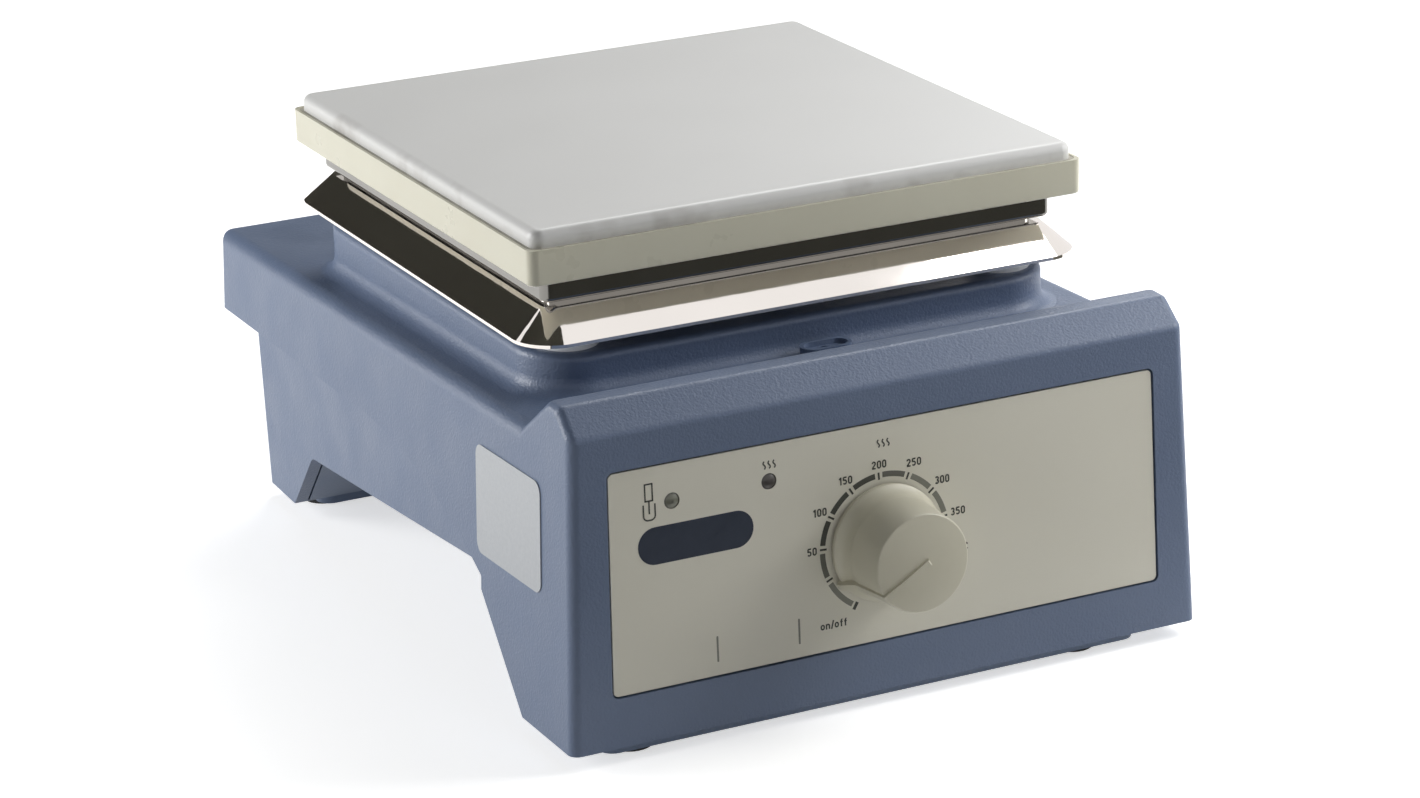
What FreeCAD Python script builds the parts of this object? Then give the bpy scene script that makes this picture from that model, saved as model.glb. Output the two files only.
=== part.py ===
"""Laboratory hot plate: a square ceramic plate over a cast casing, with one heat control knob.

Millimetres, +Z up, front towards -Y. Every piece is modelled about the middle of the heated plate,
with z = 0 on the bench, and the finished pieces are moved together so that the origin lies under
the middle of the whole.
"""
import FreeCAD
import Part
import math
import os

V = FreeCAD.Vector
UP = V(0, 0, 1)

# Casing: outer form
CASING_WIDTH = 171.4
CASING_FRONT = 112.3
CASING_BACK = 115.3
CASING_EDGE_Z = 4.0
CASING_WALL = 3.5
SIDE_DRAFT = 2.4
FRONT_DRAFT = 1.7
CORNER_R = 2.6
BEVEL_Z = 80.9
CREST_FRONT = (-102.8, 87.0)
CREST_FRONT_R = 2.4
CREST_BACK = (-97.5, 87.2)
CREST_BACK_R = 2.6
CREST_END_R = 2.2
SLOPE_FOOT_Z = 60.0
VALLEY_Y = -84.0
VALLEY_OVERLAP = 8.0
DECK_FRONT_Z = 77.3
DECK_BACK_Z = 72.8
DECK_EDGE_R = 4.0

# Casing: plinth under the plate
PLINTH_HALF = 71.5
PLINTH_CORNER_R = 15.0
PLINTH_Z = 87.0
PLINTH_TOP_R = 2.0
PLINTH_FOOT_R = 4.0
PLINTH_ROOT = 6.0
LEAD_HOLE_R = 15.0

# Casing: lower rear body under the overhanging ledge
LEDGE_UNDER_Z = 51.5
REAR_WALL_Y = 102.5
REAR_INSET_TOP = 5.9
REAR_INSET_FOOT = 8.4
FLARE_Y = -60.0
FLARE_INSET_TOP = 2.5
FLARE_INSET_FOOT = 1.3
FLARE_OVERLAP = 60.0
CORE_OVERLAP = 8.0
REAR_CORNER_R = 4.0
CREASE_START_Y = 18.0
CREASE_R = 165.0

# Casing: arch between the legs
ARCH_FRONT_FOOT_Y = -84.0
ARCH_FRONT_TOP = (-54.5, 34.0)
ARCH_REAR_TOP = (62.5, 22.8)
ARCH_REAR_FOOT_Y = 80.5
ARCH_CORNER_R = 5.0

# Fascia
PANEL_SIDE_TOP = 12.6
PANEL_SIDE_FOOT = 11.5
PANEL_HEIGHT = 54.5
PANEL_THICK = 1.5
PANEL_CORNER_R = 1.3
PANEL_GAP = 0.5
PANEL_SINK = 0.3
PANEL_CENTRE_Z = 44.0
LAMP_R = 2.0
LAMP_LEFT = (-57.1, 18.1)
LAMP_RIGHT = (-31.8, 18.1)
LAMP_PROUD = 0.35
LAMP_DOME_R = 3.2
LAMP_DOME_START = 0.2
LAMP_RIM_R = 2.8
LAMP_RIM_THICK = 1.2
LED_R = 1.5
LED_REACH = 2.0

# Control knob and its shaft
DIAL = (-1.55, -2.6)
KNOB_SKIRT_R = 14.6
KNOB_SKIRT_THICK = 1.1
KNOB_FLARE_H = 5.2
KNOB_FLARE_BEND = (13.31, 2.97)
KNOB_NECK_R = 12.9
KNOB_FACE_R = 12.2
KNOB_FACE_EDGE = 0.5
KNOB_HEIGHT = 19.0
KNOB_DOME = 1.0
KNOB_WALL = 1.8
KNOB_FACE_WALL = 2.6
KNOB_GAP = 0.7
KNOB_HUB_R = 6.5
KNOB_INSERT_R = 4.5
KNOB_INSERT_END = 1.0
KNOB_HUB_LIFT = 6.2
RIDGE_WIDTH = 1.7
RIDGE_PROUD = 0.8
RIDGE_SIDE_PROUD = 0.6
RIDGE_TAIL = 1.3
RIDGE_TIP_R = 15.9
RIDGE_ROOT = 1.0
RIDGE_BEND_R = 3.0
RIDGE_RIM_R = 0.8
RIDGE_EDGE_R = 0.45
POINTER_DEG = 213.0
SHAFT_R = 3.0
SHAFT_CLEARANCE = 0.05
SHAFT_LENGTH = 26.0
SHAFT_FLAT = 0.9

# Rotary control behind the fascia
CONTROL_R = 12.5
CONTROL_DEPTH = 13.0
CONTROL_BACK_WALL = 3.0
TAG_WIDTH = 2.4
TAG_LENGTH = 5.0
TAG_ROOT = 1.0
TAG_THICK = 0.8
TAG_PITCH = 5.8
TAG_SET_BACK = 6.0
BUSH_R = 4.0
BUSH_LENGTH = 7.6
CONTROL_NUT_AF = 11.0
CONTROL_NUT_THICK = 2.0
CONTROL_WASHER_R = 6.6
CONTROL_WASHER_THICK = 0.6

# Heated plate
FRAME_HALF = 75.0
FRAME_HEIGHT = 8.75
FRAME_CORNER_R = 2.4
FRAME_EDGE_R = 0.6
FRAME_RIM = 0.75
FRAME_SHELF = 7.0
PLATE_HALF = 73.3
PLATE_THICK = 7.5
PLATE_RISE = 4.15
PLATE_CORNER_R = 3.0
PLATE_EDGE_R = 2.1
SEAL_SINK = 0.15

# Heater pan, element and insulation
PAN_HALF = 69.4
PAN_HEIGHT = 6.5
PAN_SHEET = 0.7
PAN_CORNER_R = 2.5
PAN_EDGE_R = 1.1
PAN_FLANGE = 3.2
PAN_STEP_HALF = 66.0
PAN_STEP = 1.5
PAN_HOLE_R = 13.0
ELEMENT_MARGIN = 6.3
ELEMENT_THICK = 1.6
ELEMENT_TRACK = 0.5
ELEMENT_CORNER_R = 3.0
TRACK_PITCH = 8.0
TRACK_WIDTH = 5.0
TRACK_MARGIN = 4.0
INSULATION_MARGIN = 3.3
HEATER_HOLE_R = 17.0
TERMINAL_X = 6.0
TERMINAL_R = 2.2
TERMINAL_LENGTH = 6.0
TERMINAL_END = 2.0
SENSOR_Y = 10.0
SENSOR_R = 3.0
SENSOR_GAP = 0.5
SENSOR_LENGTH = 9.0
SENSOR_SOCKET = 3.0
LEAD_R = 1.4
GROMMET_LIP = 2.0
GROMMET_LIP_THICK = 1.5

# Heat shield
SHIELD_SHEET = 0.7
SHIELD_HALF = 68.4
SHIELD_CORNER_R = 3.5
SHIELD_OUTER_HALF = 76.1
SHIELD_OUTER_R = 10.8
SHIELD_DROP = 6.9
SHIELD_LIP = 0.8
SHIELD_HOLE_R = 14.0

# Plate supports
STUD_X = 59.5
STUD_Y = 60.3
STUD_R = 2.0
STUD_CLEARANCE = 0.25
SPACER_R = 7.6
SPACER_HEIGHT = 11.2
STUD_NUT_AF = 7.0
STUD_NUT_THICK = 3.2
STUD_WASHER_R = 4.5
STUD_WASHER_THICK = 0.8
STUD_END = 3.0

# Base tray, feet and posts
TRAY_THICK = 2.4
TRAY_GAP = 0.5
PAD_SIDE_LEFT = 9.7
PAD_SIDE_RIGHT = 15.5
PAD_REAR_TRIM = 5.5
PAD_DROP = 2.5
PAD_INSET = 2.9
PAD_OVERLAP = 1.0
PAD_END_R = 4.0
FOOT_SIDE_LEFT = 19.7
FOOT_SIDE_RIGHT = 30.2
FOOT_FRONT_Y = -101.8
FOOT_REAR_Y = 91.5
FOOT_R = 5.6
FOOT_TOP_R = 6.2
FOOT_HEIGHT = 4.0
FOOT_POCKET_GAP = 0.2
FOOT_RECESS = 0.8
BOSS_R = 4.5
BOSS_HEIGHT = 16.0
BOSS_WEB = 2.5
SCREW_R = 2.0
SCREW_CLEARANCE = 0.2
SCREW_HEAD_R = 3.6
SCREW_HEAD_H = 1.2
SCREW_LENGTH = 13.0
SCREW_SLOT = 0.7
VENT_COUNT = 7
VENT_PITCH = 9.0
VENT_WIDTH = 3.0
VENT_LENGTH = 46.0
VENT_Y = 22.0

# Rear ledge rod socket
ROD_X = 46.0
ROD_Y = 95.0
ROD_THREAD_R = 4.25
ROD_INSERT_R = 7.0
ROD_FLANGE_R = 9.0
ROD_FLANGE_THICK = 1.2
ROD_DEPTH = 18.0
ROD_BOSS_R = 10.5
ROD_BOSS_PROUD = 0.8

# Rear wall: mains inlet and probe socket
INLET_X = -36.0
SOCKET_Z = 28.0
INLET_FLANGE = (50.0, 22.6)
INLET_FLANGE_R = 5.0
INLET_FLANGE_THICK = 3.0
INLET_BODY = (27.4, 19.6)
INLET_BODY_R = 1.0
INLET_DEPTH = 22.0
INLET_MOUTH = (24.4, 16.4)
INLET_MOUTH_CUT = 4.5
INLET_MOUTH_R = 1.0
INLET_MOUTH_DEPTH = 16.5
INLET_PIN = (2.0, 4.0, 15.0)
INLET_PIN_PITCH = 7.0
INLET_PIN_RISE = 1.0
INLET_EARTH_DROP = 3.0
INLET_SCREW_PITCH = 40.0
INLET_SCREW_R = 1.4
INLET_SCREW_REACH = 2.0
INLET_SCREW_HEAD_R = 2.8
INLET_SCREW_HEAD = 1.5
PROBE_X = 38.0
PROBE_R = 7.4
PROBE_FLANGE_R = 9.5
PROBE_FLANGE_THICK = 1.8
PROBE_DEPTH = 14.0
PROBE_MOUTH_R = 6.2
PROBE_MOUTH_DEPTH = 10.0
PROBE_PIN_R = 0.7
PROBE_PIN_CIRCLE = 3.4
PROBE_PIN_DEPTH = 3.0
PROBE_PINS = 5
PROBE_NUT_AF = 19.0
PROBE_NUT_THICK = 2.5

# Drain in the front valley
DRAIN_X = 1.0
DRAIN_LENGTH = 13.5
DRAIN_WIDTH = 6.6
DRAIN_RISE = 4.0
DRAIN_ROOT = 3.0
DRAIN_WALL = 1.0
DRAIN_WELL = 1.2
DRAIN_HOLE_R = 1.8

# Electrical parts inside
BOARD_SIDE = 8.7
BOARD_CLEAR = 0.95
BOARD_HEIGHT = 40.0
BOARD_THICK = 1.6
BOARD_CORNER_R = 2.0
BOARD_HOLE_INSET = 4.0
BOARD_Y = 6.0
BOARD_STANDOFF = 7.0
STANDOFF_R = 2.8
BOARD_SCREW_R = 1.4
BOARD_SCREW_LENGTH = 6.0
BOARD_SCREW_HEAD = 1.4
RELAY_SIZE = (16.0, 12.0, 9.0)
CHIP_SIZE = (9.0, 6.0, 2.0)
CHIP_PLACE = (-18.0, 8.0)
CAPACITOR_R = 4.0
CAPACITOR_LENGTH = 12.0
CAPACITOR_PLACE = (20.0, -6.0)
SINK_SIDE = 16.7
SINK_CLEAR = 12.05
SINK_HEIGHT = 34.0
SINK_BASE = 3.0
SINK_TAB = 13.0
SINK_FIN = 13.0
SINK_FIN_THICK = 1.4
SINK_FINS = 8
SINK_CORNER_R = 1.0
TRIAC_SIZE = (10.0, 9.0, 4.4)
TRIAC_CORNER_R = 0.5
TRIAC_INSET = 1.5
TRIAC_LEG = 0.8
TRIAC_LEG_LENGTH = 8.0
TRIAC_LEG_PITCH = 2.5
TRANSFORMER_SIZE = (42.0, 35.0, 30.0)
TRANSFORMER_COIL = 6.0
TRANSFORMER_COIL_WIDTH = 26.0
TRANSFORMER_COIL_R = 4.0
TRANSFORMER_SIDE = 41.7
TRANSFORMER_Y = 30.0
BLOCK_SIZE = (34.0, 22.0, 16.0)
BLOCK_WAYS = 3
BLOCK_WELL_R = 1.8
BLOCK_WELL_DEPTH = 6.0
BLOCK_WELL_INSET = 4.0
BLOCK_SLOT = (1.2, 6.6, 5.0)
EARTH_SIDE = 35.7
EARTH_Y = 40.0
EARTH_R = 2.0
EARTH_LENGTH = 14.0
EARTH_FLANGE_R = 4.0
EARTH_FLANGE_THICK = 1.2

# Side label
LABEL_WIDTH = 36.8
LABEL_HEIGHT = 27.4
LABEL_R = 3.0
LABEL_THICK = 0.3
LABEL_Y = -76.4
LABEL_Z = 52.0
LABEL_TURN = 1.5

# Worked-out places
SIDE_SLOPE = math.tan(math.radians(SIDE_DRAFT))
FRONT_SLOPE = math.tan(math.radians(FRONT_DRAFT))
SPACER_TOP_Z = PLINTH_Z + SPACER_HEIGHT
SHIELD_TOP_Z = SPACER_TOP_Z + SHIELD_SHEET
PAN_FLOOR_Z = SHIELD_TOP_Z + PAN_STEP
FRAME_BOTTOM_Z = PAN_FLOOR_Z + PAN_HEIGHT
FRAME_TOP_Z = FRAME_BOTTOM_Z + FRAME_HEIGHT
PLATE_TOP_Z = FRAME_TOP_Z + PLATE_RISE
PLATE_UNDER_Z = PLATE_TOP_Z - PLATE_THICK
SEAL_HALF = FRAME_HALF - FRAME_RIM
FRAME_OPENING_HALF = PLATE_HALF - FRAME_SHELF
ELEMENT_HALF = FRAME_OPENING_HALF - ELEMENT_MARGIN
INSULATION_HALF = FRAME_OPENING_HALF - INSULATION_MARGIN
STUD_PLACES = [(sx * STUD_X, sy * STUD_Y) for sx in (-1, 1) for sy in (-1, 1)]
CASING_HALF = CASING_WIDTH / 2
FOOT_XS = (FOOT_SIDE_LEFT - CASING_HALF, CASING_HALF - FOOT_SIDE_RIGHT)
FOOT_PLACES = [(x, y) for x in FOOT_XS for y in (FOOT_FRONT_Y, FOOT_REAR_Y)]
BOARD_START = BOARD_SIDE - CASING_HALF
BOARD_END = DIAL[0] - CONTROL_R - BOARD_CLEAR
BOARD_WIDTH = BOARD_END - BOARD_START
BOARD_X = (BOARD_START + BOARD_END) / 2
SINK_START = DIAL[0] + CONTROL_R + SINK_CLEAR
SINK_END = CASING_HALF - SINK_SIDE
SINK_WIDTH = SINK_END - SINK_START
SINK_X = (SINK_START + SINK_END) / 2
TRANSFORMER_X = CASING_HALF - TRANSFORMER_SIDE
EARTH_X = EARTH_SIDE - CASING_HALF

# Cutters: reach past the face they cut, small overlap, space below the bench
WIDE = CASING_WIDTH
REACH = 12.0
OVER = 1.0
LOW = -20.0


def half_width(z):
    """Half width of the drafted casing at height z."""
    return CASING_HALF - SIDE_SLOPE * (z - CASING_EDGE_Z)


def front_y(z):
    """Y of the leaning front face at height z."""
    return -CASING_FRONT + FRONT_SLOPE * (z - CASING_EDGE_Z)


def deck_z(y):
    """Height of the gently sloping deck at y."""
    share = (y - VALLEY_Y) / (CASING_BACK - VALLEY_Y)
    return DECK_FRONT_Z + (DECK_BACK_Z - DECK_FRONT_Z) * share


def rounded_wire(points, radii):
    """Closed wire through points, each corner rounded by its own radius."""
    edges = []
    count = len(points)
    starts = []
    ends = []
    for i, corner in enumerate(points):
        before = (points[i - 1] - corner).normalize()
        after = (points[(i + 1) % count] - corner).normalize()
        if radii[i] <= 0:
            starts.append(corner)
            ends.append(corner)
            continue
        half_angle = before.getAngle(after) / 2
        reach = radii[i] / math.tan(half_angle)
        starts.append(corner + before * reach)
        ends.append(corner + after * reach)
    for i, corner in enumerate(points):
        if radii[i] > 0:
            before = (points[i - 1] - corner).normalize()
            after = (points[(i + 1) % count] - corner).normalize()
            half_angle = before.getAngle(after) / 2
            bisector = (before + after).normalize()
            crown = corner + bisector * (radii[i] / math.sin(half_angle) - radii[i])
            edges.append(Part.Arc(starts[i], crown, ends[i]).toShape())
        edges.append(Part.LineSegment(ends[i], starts[(i + 1) % count]).toShape())
    return Part.Wire(edges)


def rect_points(x0, x1, y0, y1, z=0.0):
    return [V(x0, y0, z), V(x1, y0, z), V(x1, y1, z), V(x0, y1, z)]


def square_wire(half, radius, z):
    """Rounded square centred on the plate."""
    return rounded_wire(rect_points(-half, half, -half, half, z), [radius] * 4)


def square_block(half, radius, z0, z1):
    return Part.Face(square_wire(half, radius, z0)).extrude(UP * (z1 - z0))


def slab(width, height, radius, z0, z1):
    """Rounded rectangle about the local origin, from z0 to z1."""
    points = rect_points(-width / 2, width / 2, -height / 2, height / 2, z0)
    return Part.Face(rounded_wire(points, [radius] * 4)).extrude(UP * (z1 - z0))


def capsule(length, width, z0, z1):
    """Slot form with round ends, lying along x about the local origin."""
    half = (length - width) / 2
    bar = Part.makeBox(2 * half, width, z1 - z0, V(-half, -width / 2, z0))
    ends = [rod(width / 2, x, 0, z0, z1) for x in (-half, half)]
    return bar.multiFuse(ends).removeSplitter()


def rod(radius, x, y, z0, z1):
    return Part.makeCylinder(radius, z1 - z0, V(x, y, z0))


def tube(outer, inner, x, y, z0, z1):
    return rod(outer, x, y, z0, z1).cut(rod(inner, x, y, z0 - OVER, z1 + OVER))


def hexagon(across_flats, x, y, z0, z1):
    reach = across_flats / math.sqrt(3)
    points = [V(x + reach * math.cos(math.radians(60 * i)), y + reach * math.sin(math.radians(60 * i)), z0)
              for i in range(6)]
    return Part.Face(rounded_wire(points, [0] * 6)).extrude(UP * (z1 - z0))


def across(points, radii):
    """Solid whose side view is the given (y, z) outline, wider than the casing."""
    wire = rounded_wire([V(-WIDE, y, z) for y, z in points], radii)
    return Part.Face(wire).extrude(V(2 * WIDE, 0, 0))


def edges_at(shape, test):
    """Edges whose every vertex and middle meet the test."""
    chosen = []
    for edge in shape.Edges:
        middle = edge.valueAt((edge.FirstParameter + edge.LastParameter) / 2)
        if test(middle) and all(test(v.Point) for v in edge.Vertexes):
            chosen.append(edge)
    return chosen


def placed(shape, placement):
    """Copy of a shape with one more placement on top of its own."""
    moved = shape.copy()
    moved.Placement = placement.multiply(shape.Placement)
    return moved


def on_front(shape, x=0.0, up=0.0, out=0.0):
    """Move a shape from its local frame (Z outward) to the fascia's plane."""
    lean = math.radians(FRONT_DRAFT)
    plane_y = front_y(PANEL_CENTRE_Z) + PANEL_SINK / math.cos(lean)
    base = V(x, plane_y + up * math.sin(lean) - out * math.cos(lean),
             PANEL_CENTRE_Z + up * math.cos(lean) + out * math.sin(lean))
    return placed(shape, FreeCAD.Placement(base, FreeCAD.Rotation(V(1, 0, 0), 90 - FRONT_DRAFT)))


def on_rear(shape, x, z):
    """Move a shape from its local frame (Z outward) to the rear wall."""
    return placed(shape, FreeCAD.Placement(V(x, REAR_WALL_Y, z), FreeCAD.Rotation(V(1, 0, 0), -90)))


def arch_slope():
    (y0, z0), (y1, z1) = ARCH_FRONT_TOP, ARCH_REAR_TOP
    return (z1 - z0) / (y1 - y0)


def tray_top_z(y):
    """Height of the tray's sloping floor at y."""
    rise = TRAY_THICK / math.cos(math.atan(arch_slope()))
    return ARCH_FRONT_TOP[1] + arch_slope() * (y - ARCH_FRONT_TOP[0]) + rise


def on_tray(shape, x, y):
    """Stand a shape on the tray's sloping floor."""
    slope = math.degrees(math.atan(arch_slope()))
    return placed(shape, FreeCAD.Placement(V(x, y, tray_top_z(y)), FreeCAD.Rotation(V(1, 0, 0), slope)))


def moved_in(outline, shifts):
    """Clockwise (y, z) outline with the side that ends in each point moved inward by its shift."""
    moved = []
    count = len(outline)
    for i, (y, z) in enumerate(outline):
        before = V(y - outline[i - 1][0], z - outline[i - 1][1], 0).normalize()
        following = outline[(i + 1) % count]
        after = V(following[0] - y, following[1] - z, 0).normalize()
        turn = before.x * after.y - before.y * after.x
        step = before * (shifts[(i + 1) % count] / turn) - after * (shifts[i] / turn)
        moved.append((y + step.x, z + step.y))
    return moved


def between_sides(inset):
    """Block between the two drafted sides, longer and higher than the casing."""
    high = CREST_BACK[1] + OVER
    low_half = half_width(CASING_EDGE_Z) - inset
    high_half = half_width(high) - inset
    points = [V(-low_half, -WIDE, CASING_EDGE_Z), V(low_half, -WIDE, CASING_EDGE_Z),
              V(high_half, -WIDE, high), V(-high_half, -WIDE, high)]
    return Part.Face(rounded_wire(points, [0] * 4)).extrude(V(0, 2 * WIDE, 0))


def front_block(inset, radii):
    """Front of the casing: leaning face, bevel, crest and the slope down to the valley."""
    floor = CASING_EDGE_Z
    fall = (CREST_BACK[1] - deck_z(VALLEY_Y)) / (VALLEY_Y - CREST_BACK[0])
    foot_y = CREST_BACK[0] + (CREST_BACK[1] - SLOPE_FOOT_Z) / fall
    outline = [(front_y(floor), floor), (front_y(BEVEL_Z), BEVEL_Z), CREST_FRONT, CREST_BACK,
               (foot_y, SLOPE_FOOT_Z), (foot_y, floor)]
    outline = moved_in(outline, [0, inset, inset, inset, inset, 0])
    return across(outline, radii).common(between_sides(inset))


def deck_block(inset):
    """Sloping deck and everything below it, from the valley to the back."""
    start = VALLEY_Y - VALLEY_OVERLAP
    back = CASING_BACK - inset
    outline = [(start, CASING_EDGE_Z), (start, deck_z(start) - inset), (back, deck_z(back) - inset),
               (back, CASING_EDGE_Z)]
    return across(outline, [0] * 4).common(between_sides(inset))


def on_side(p):
    """True on either drafted side of the casing."""
    return abs(abs(p.x) - half_width(p.z)) < 1e-3


def is_front_corner(p):
    return on_side(p) and abs(p.y - front_y(p.z)) < 1e-3


def rounded_front():
    """Front block with its upright corners and the ends of bevel and crest rounded."""
    block = front_block(0.0, [0, 0, CREST_FRONT_R, CREST_BACK_R, 0, 0])
    block = block.makeFillet(CORNER_R, edges_at(block, is_front_corner))
    chain = [edge for edge in block.Edges if is_end_edge(edge)]
    return block.makeFillet(CREST_END_R, chain)


def is_end_edge(edge):
    """True for the edges along the ends of bevel, crest and slope, and the bevel's foot."""
    middle = edge.valueAt((edge.FirstParameter + edge.LastParameter) / 2)
    low, high = edge.Vertexes[0].Point, edge.Vertexes[-1].Point
    if all(on_side(p) for p in (low, middle, high)):
        return abs(low.y - high.y) > 0.1 and min(low.z, high.z) > CASING_EDGE_Z + OVER
    on_foot = abs(low.z - BEVEL_Z) < 0.05 and abs(high.z - BEVEL_Z) < 0.05
    return on_foot or (abs(middle.x) > CASING_HALF - 3 * CORNER_R and middle.z > BEVEL_Z - 0.05)


def rounded_deck():
    """Deck block with its long top edges and its rear upright corners rounded."""
    block = deck_block(0.0)
    long_edges = edges_at(block, lambda p: on_side(p) and abs(p.z - deck_z(p.y)) < 1e-3)
    block = block.makeFillet(DECK_EDGE_R, long_edges)
    reach = Part.makeBox(2 * WIDE, WIDE + CASING_BACK, WIDE, V(-WIDE, -WIDE, 0))
    upright = between_sides(0.0).common(reach)
    corners = edges_at(upright, lambda p: on_side(p) and abs(p.y - CASING_BACK) < 1e-3)
    return block.common(upright.makeFillet(CORNER_R, corners))


def rear_core(inset):
    """Lower rear body, narrowing towards the back and the bench."""
    wires = []
    levels = ((LOW, FLARE_INSET_FOOT, REAR_INSET_FOOT),
              (LEDGE_UNDER_Z + CORE_OVERLAP, FLARE_INSET_TOP, REAR_INSET_TOP))
    back = REAR_WALL_Y - inset
    for z, flare_inset, rear_inset in levels:
        flare = CASING_HALF - flare_inset - inset
        rear = CASING_HALF - rear_inset - inset
        points = [V(-flare, FLARE_Y - FLARE_OVERLAP, z), V(flare, FLARE_Y - FLARE_OVERLAP, z),
                  V(flare, FLARE_Y, z), V(rear, back, z), V(-rear, back, z), V(-flare, FLARE_Y, z)]
        wires.append(rounded_wire(points, [0, 0, 0, REAR_CORNER_R, REAR_CORNER_R, 0]))
    return Part.makeLoft(wires, True, True)


def relief_zone(inset):
    """Space under the ledge and behind the curved crease on each side."""
    top = LEDGE_UNDER_Z + inset
    back = CASING_BACK + REACH
    run = CREASE_START_Y - FLARE_Y
    drop = CREASE_R - math.sqrt(CREASE_R ** 2 - run ** 2)
    half_run = run / 2
    half_drop = CREASE_R - math.sqrt(CREASE_R ** 2 - half_run ** 2)
    start = V(-WIDE, CREASE_START_Y, top)
    middle = V(-WIDE, CREASE_START_Y - half_run, top - half_drop)
    end = V(-WIDE, FLARE_Y, top - drop)
    corners = [V(-WIDE, FLARE_Y, LOW), V(-WIDE, back, LOW), V(-WIDE, back, top)]
    edges = [Part.Arc(start, middle, end).toShape(), Part.LineSegment(end, corners[0]).toShape(),
             Part.LineSegment(corners[0], corners[1]).toShape(),
             Part.LineSegment(corners[1], corners[2]).toShape(),
             Part.LineSegment(corners[2], start).toShape()]
    return Part.Face(Part.Wire(edges)).extrude(V(2 * WIDE, 0, 0))


def casing_form():
    """Whole outer form of the casing, with its rounded edges."""
    whole = rounded_front().fuse(rounded_deck())
    return whole.cut(relief_zone(0.0).cut(rear_core(0.0)))


def casing_hollow(inset):
    """The casing's form moved in by the given distance, with sharp edges."""
    whole = front_block(inset, [0] * 6).fuse(deck_block(inset))
    return whole.cut(relief_zone(inset).cut(rear_core(inset)))


def arch_outline():
    """Side view (y, z) of the space between the legs, from foot to foot."""
    (y1, z1), (y2, z2) = ARCH_FRONT_TOP, ARCH_REAR_TOP
    front_slope = (z1 - CASING_EDGE_Z) / (y1 - ARCH_FRONT_FOOT_Y)
    rear_slope = (z2 - CASING_EDGE_Z) / (y2 - ARCH_REAR_FOOT_Y)
    y0 = ARCH_FRONT_FOOT_Y + (LOW - CASING_EDGE_Z) / front_slope
    y3 = ARCH_REAR_FOOT_Y + (LOW - CASING_EDGE_Z) / rear_slope
    return [(y0, LOW), (y1, z1), (y2, z2), (y3, LOW)]


def plinth(inset):
    """Raised rounded square that the plate's spacers stand on."""
    low = DECK_BACK_Z - PLINTH_ROOT
    return square_block(PLINTH_HALF - inset, PLINTH_CORNER_R - inset, low, PLINTH_Z - inset)


def screw_boss(x, y):
    """Boss for a base screw, tied to the two nearest walls by webs."""
    low = CASING_EDGE_Z + TRAY_THICK
    reach_x = math.copysign(WIDE, x)
    reach_y = math.copysign(WIDE, y)
    web_x = Part.makeBox(WIDE, BOSS_WEB, BOSS_HEIGHT, V(min(x, x + reach_x), y - BOSS_WEB / 2, low))
    web_y = Part.makeBox(BOSS_WEB, WIDE, BOSS_HEIGHT, V(x - BOSS_WEB / 2, min(y, y + reach_y), low))
    return rod(BOSS_R, x, y, low, low + BOSS_HEIGHT).multiFuse([web_x, web_y])


def drain():
    """Low oval rim round a drain hole in the valley behind the crest."""
    y = (VALLEY_Y - PLINTH_HALF) / 2
    floor = deck_z(y)
    rim = capsule(DRAIN_LENGTH, DRAIN_WIDTH, -DRAIN_ROOT, DRAIN_RISE)
    well = capsule(DRAIN_LENGTH - 2 * DRAIN_WALL, DRAIN_WIDTH - 2 * DRAIN_WALL, DRAIN_RISE - DRAIN_WELL,
                   DRAIN_RISE + OVER)
    hole = rod(DRAIN_HOLE_R, 0, 0, -REACH, DRAIN_RISE + OVER)
    place = V(DRAIN_X, y, floor)
    return rim.translated(place), well.fuse(hole).translated(place)


def make_casing():
    """Hollow cast casing with plinth, ledge, posts, bosses and every cut-out."""
    outer = casing_form().fuse(plinth(0.0)).removeSplitter()
    outer = outer.makeFillet(PLINTH_FOOT_R, edges_at(outer, is_plinth_foot))
    crown_edges = edges_at(outer, lambda p: abs(p.z - PLINTH_Z) < 1e-3)
    outer = outer.makeFillet(PLINTH_TOP_R, crown_edges)
    outer = outer.cut(across(arch_outline(), [0, ARCH_CORNER_R, ARCH_CORNER_R, 0]))
    bosses = [screw_boss(x, y).common(outer) for x, y in FOOT_PLACES]
    opening = casing_hollow(CASING_WALL).multiFuse([below_hollow(), plinth(CASING_WALL)])
    body = outer.cut(opening).multiFuse(bosses)
    for x, y in FOOT_PLACES:
        body = body.cut(rod(SCREW_R, x, y, CASING_EDGE_Z, FOOT_HEIGHT + SCREW_LENGTH + OVER))
    body = body.fuse(rod(ROD_BOSS_R, ROD_X, ROD_Y, LEDGE_UNDER_Z + OVER, rod_top_z()))
    body = body.cut(rod(ROD_INSERT_R, ROD_X, ROD_Y, rod_top_z() - ROD_DEPTH, rod_top_z() + OVER))
    rim, well = drain()
    body = body.fuse(rim).cut(well)
    body = body.cut(rod(LEAD_HOLE_R, 0, 0, PLINTH_Z - REACH, PLINTH_Z + OVER))
    for x, y in STUD_PLACES:
        body = body.cut(rod(STUD_R + STUD_CLEARANCE, x, y, PLINTH_Z - REACH, PLINTH_Z + OVER))
    return cut_rear(cut_front(body)).removeSplitter()


def cut_front(body):
    """Cut the fascia's recess and the holes for the control's bush and the lamps."""
    body = body.cut(on_front(panel_block(PANEL_GAP, -PANEL_THICK, REACH)))
    body = body.cut(on_front(rod(BUSH_R, 0, 0, -REACH, REACH), DIAL[0], DIAL[1]))
    for x, up in (LAMP_LEFT, LAMP_RIGHT):
        body = body.cut(on_front(rod(LAMP_R, 0, 0, -REACH, REACH), x, up))
    return body


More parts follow.
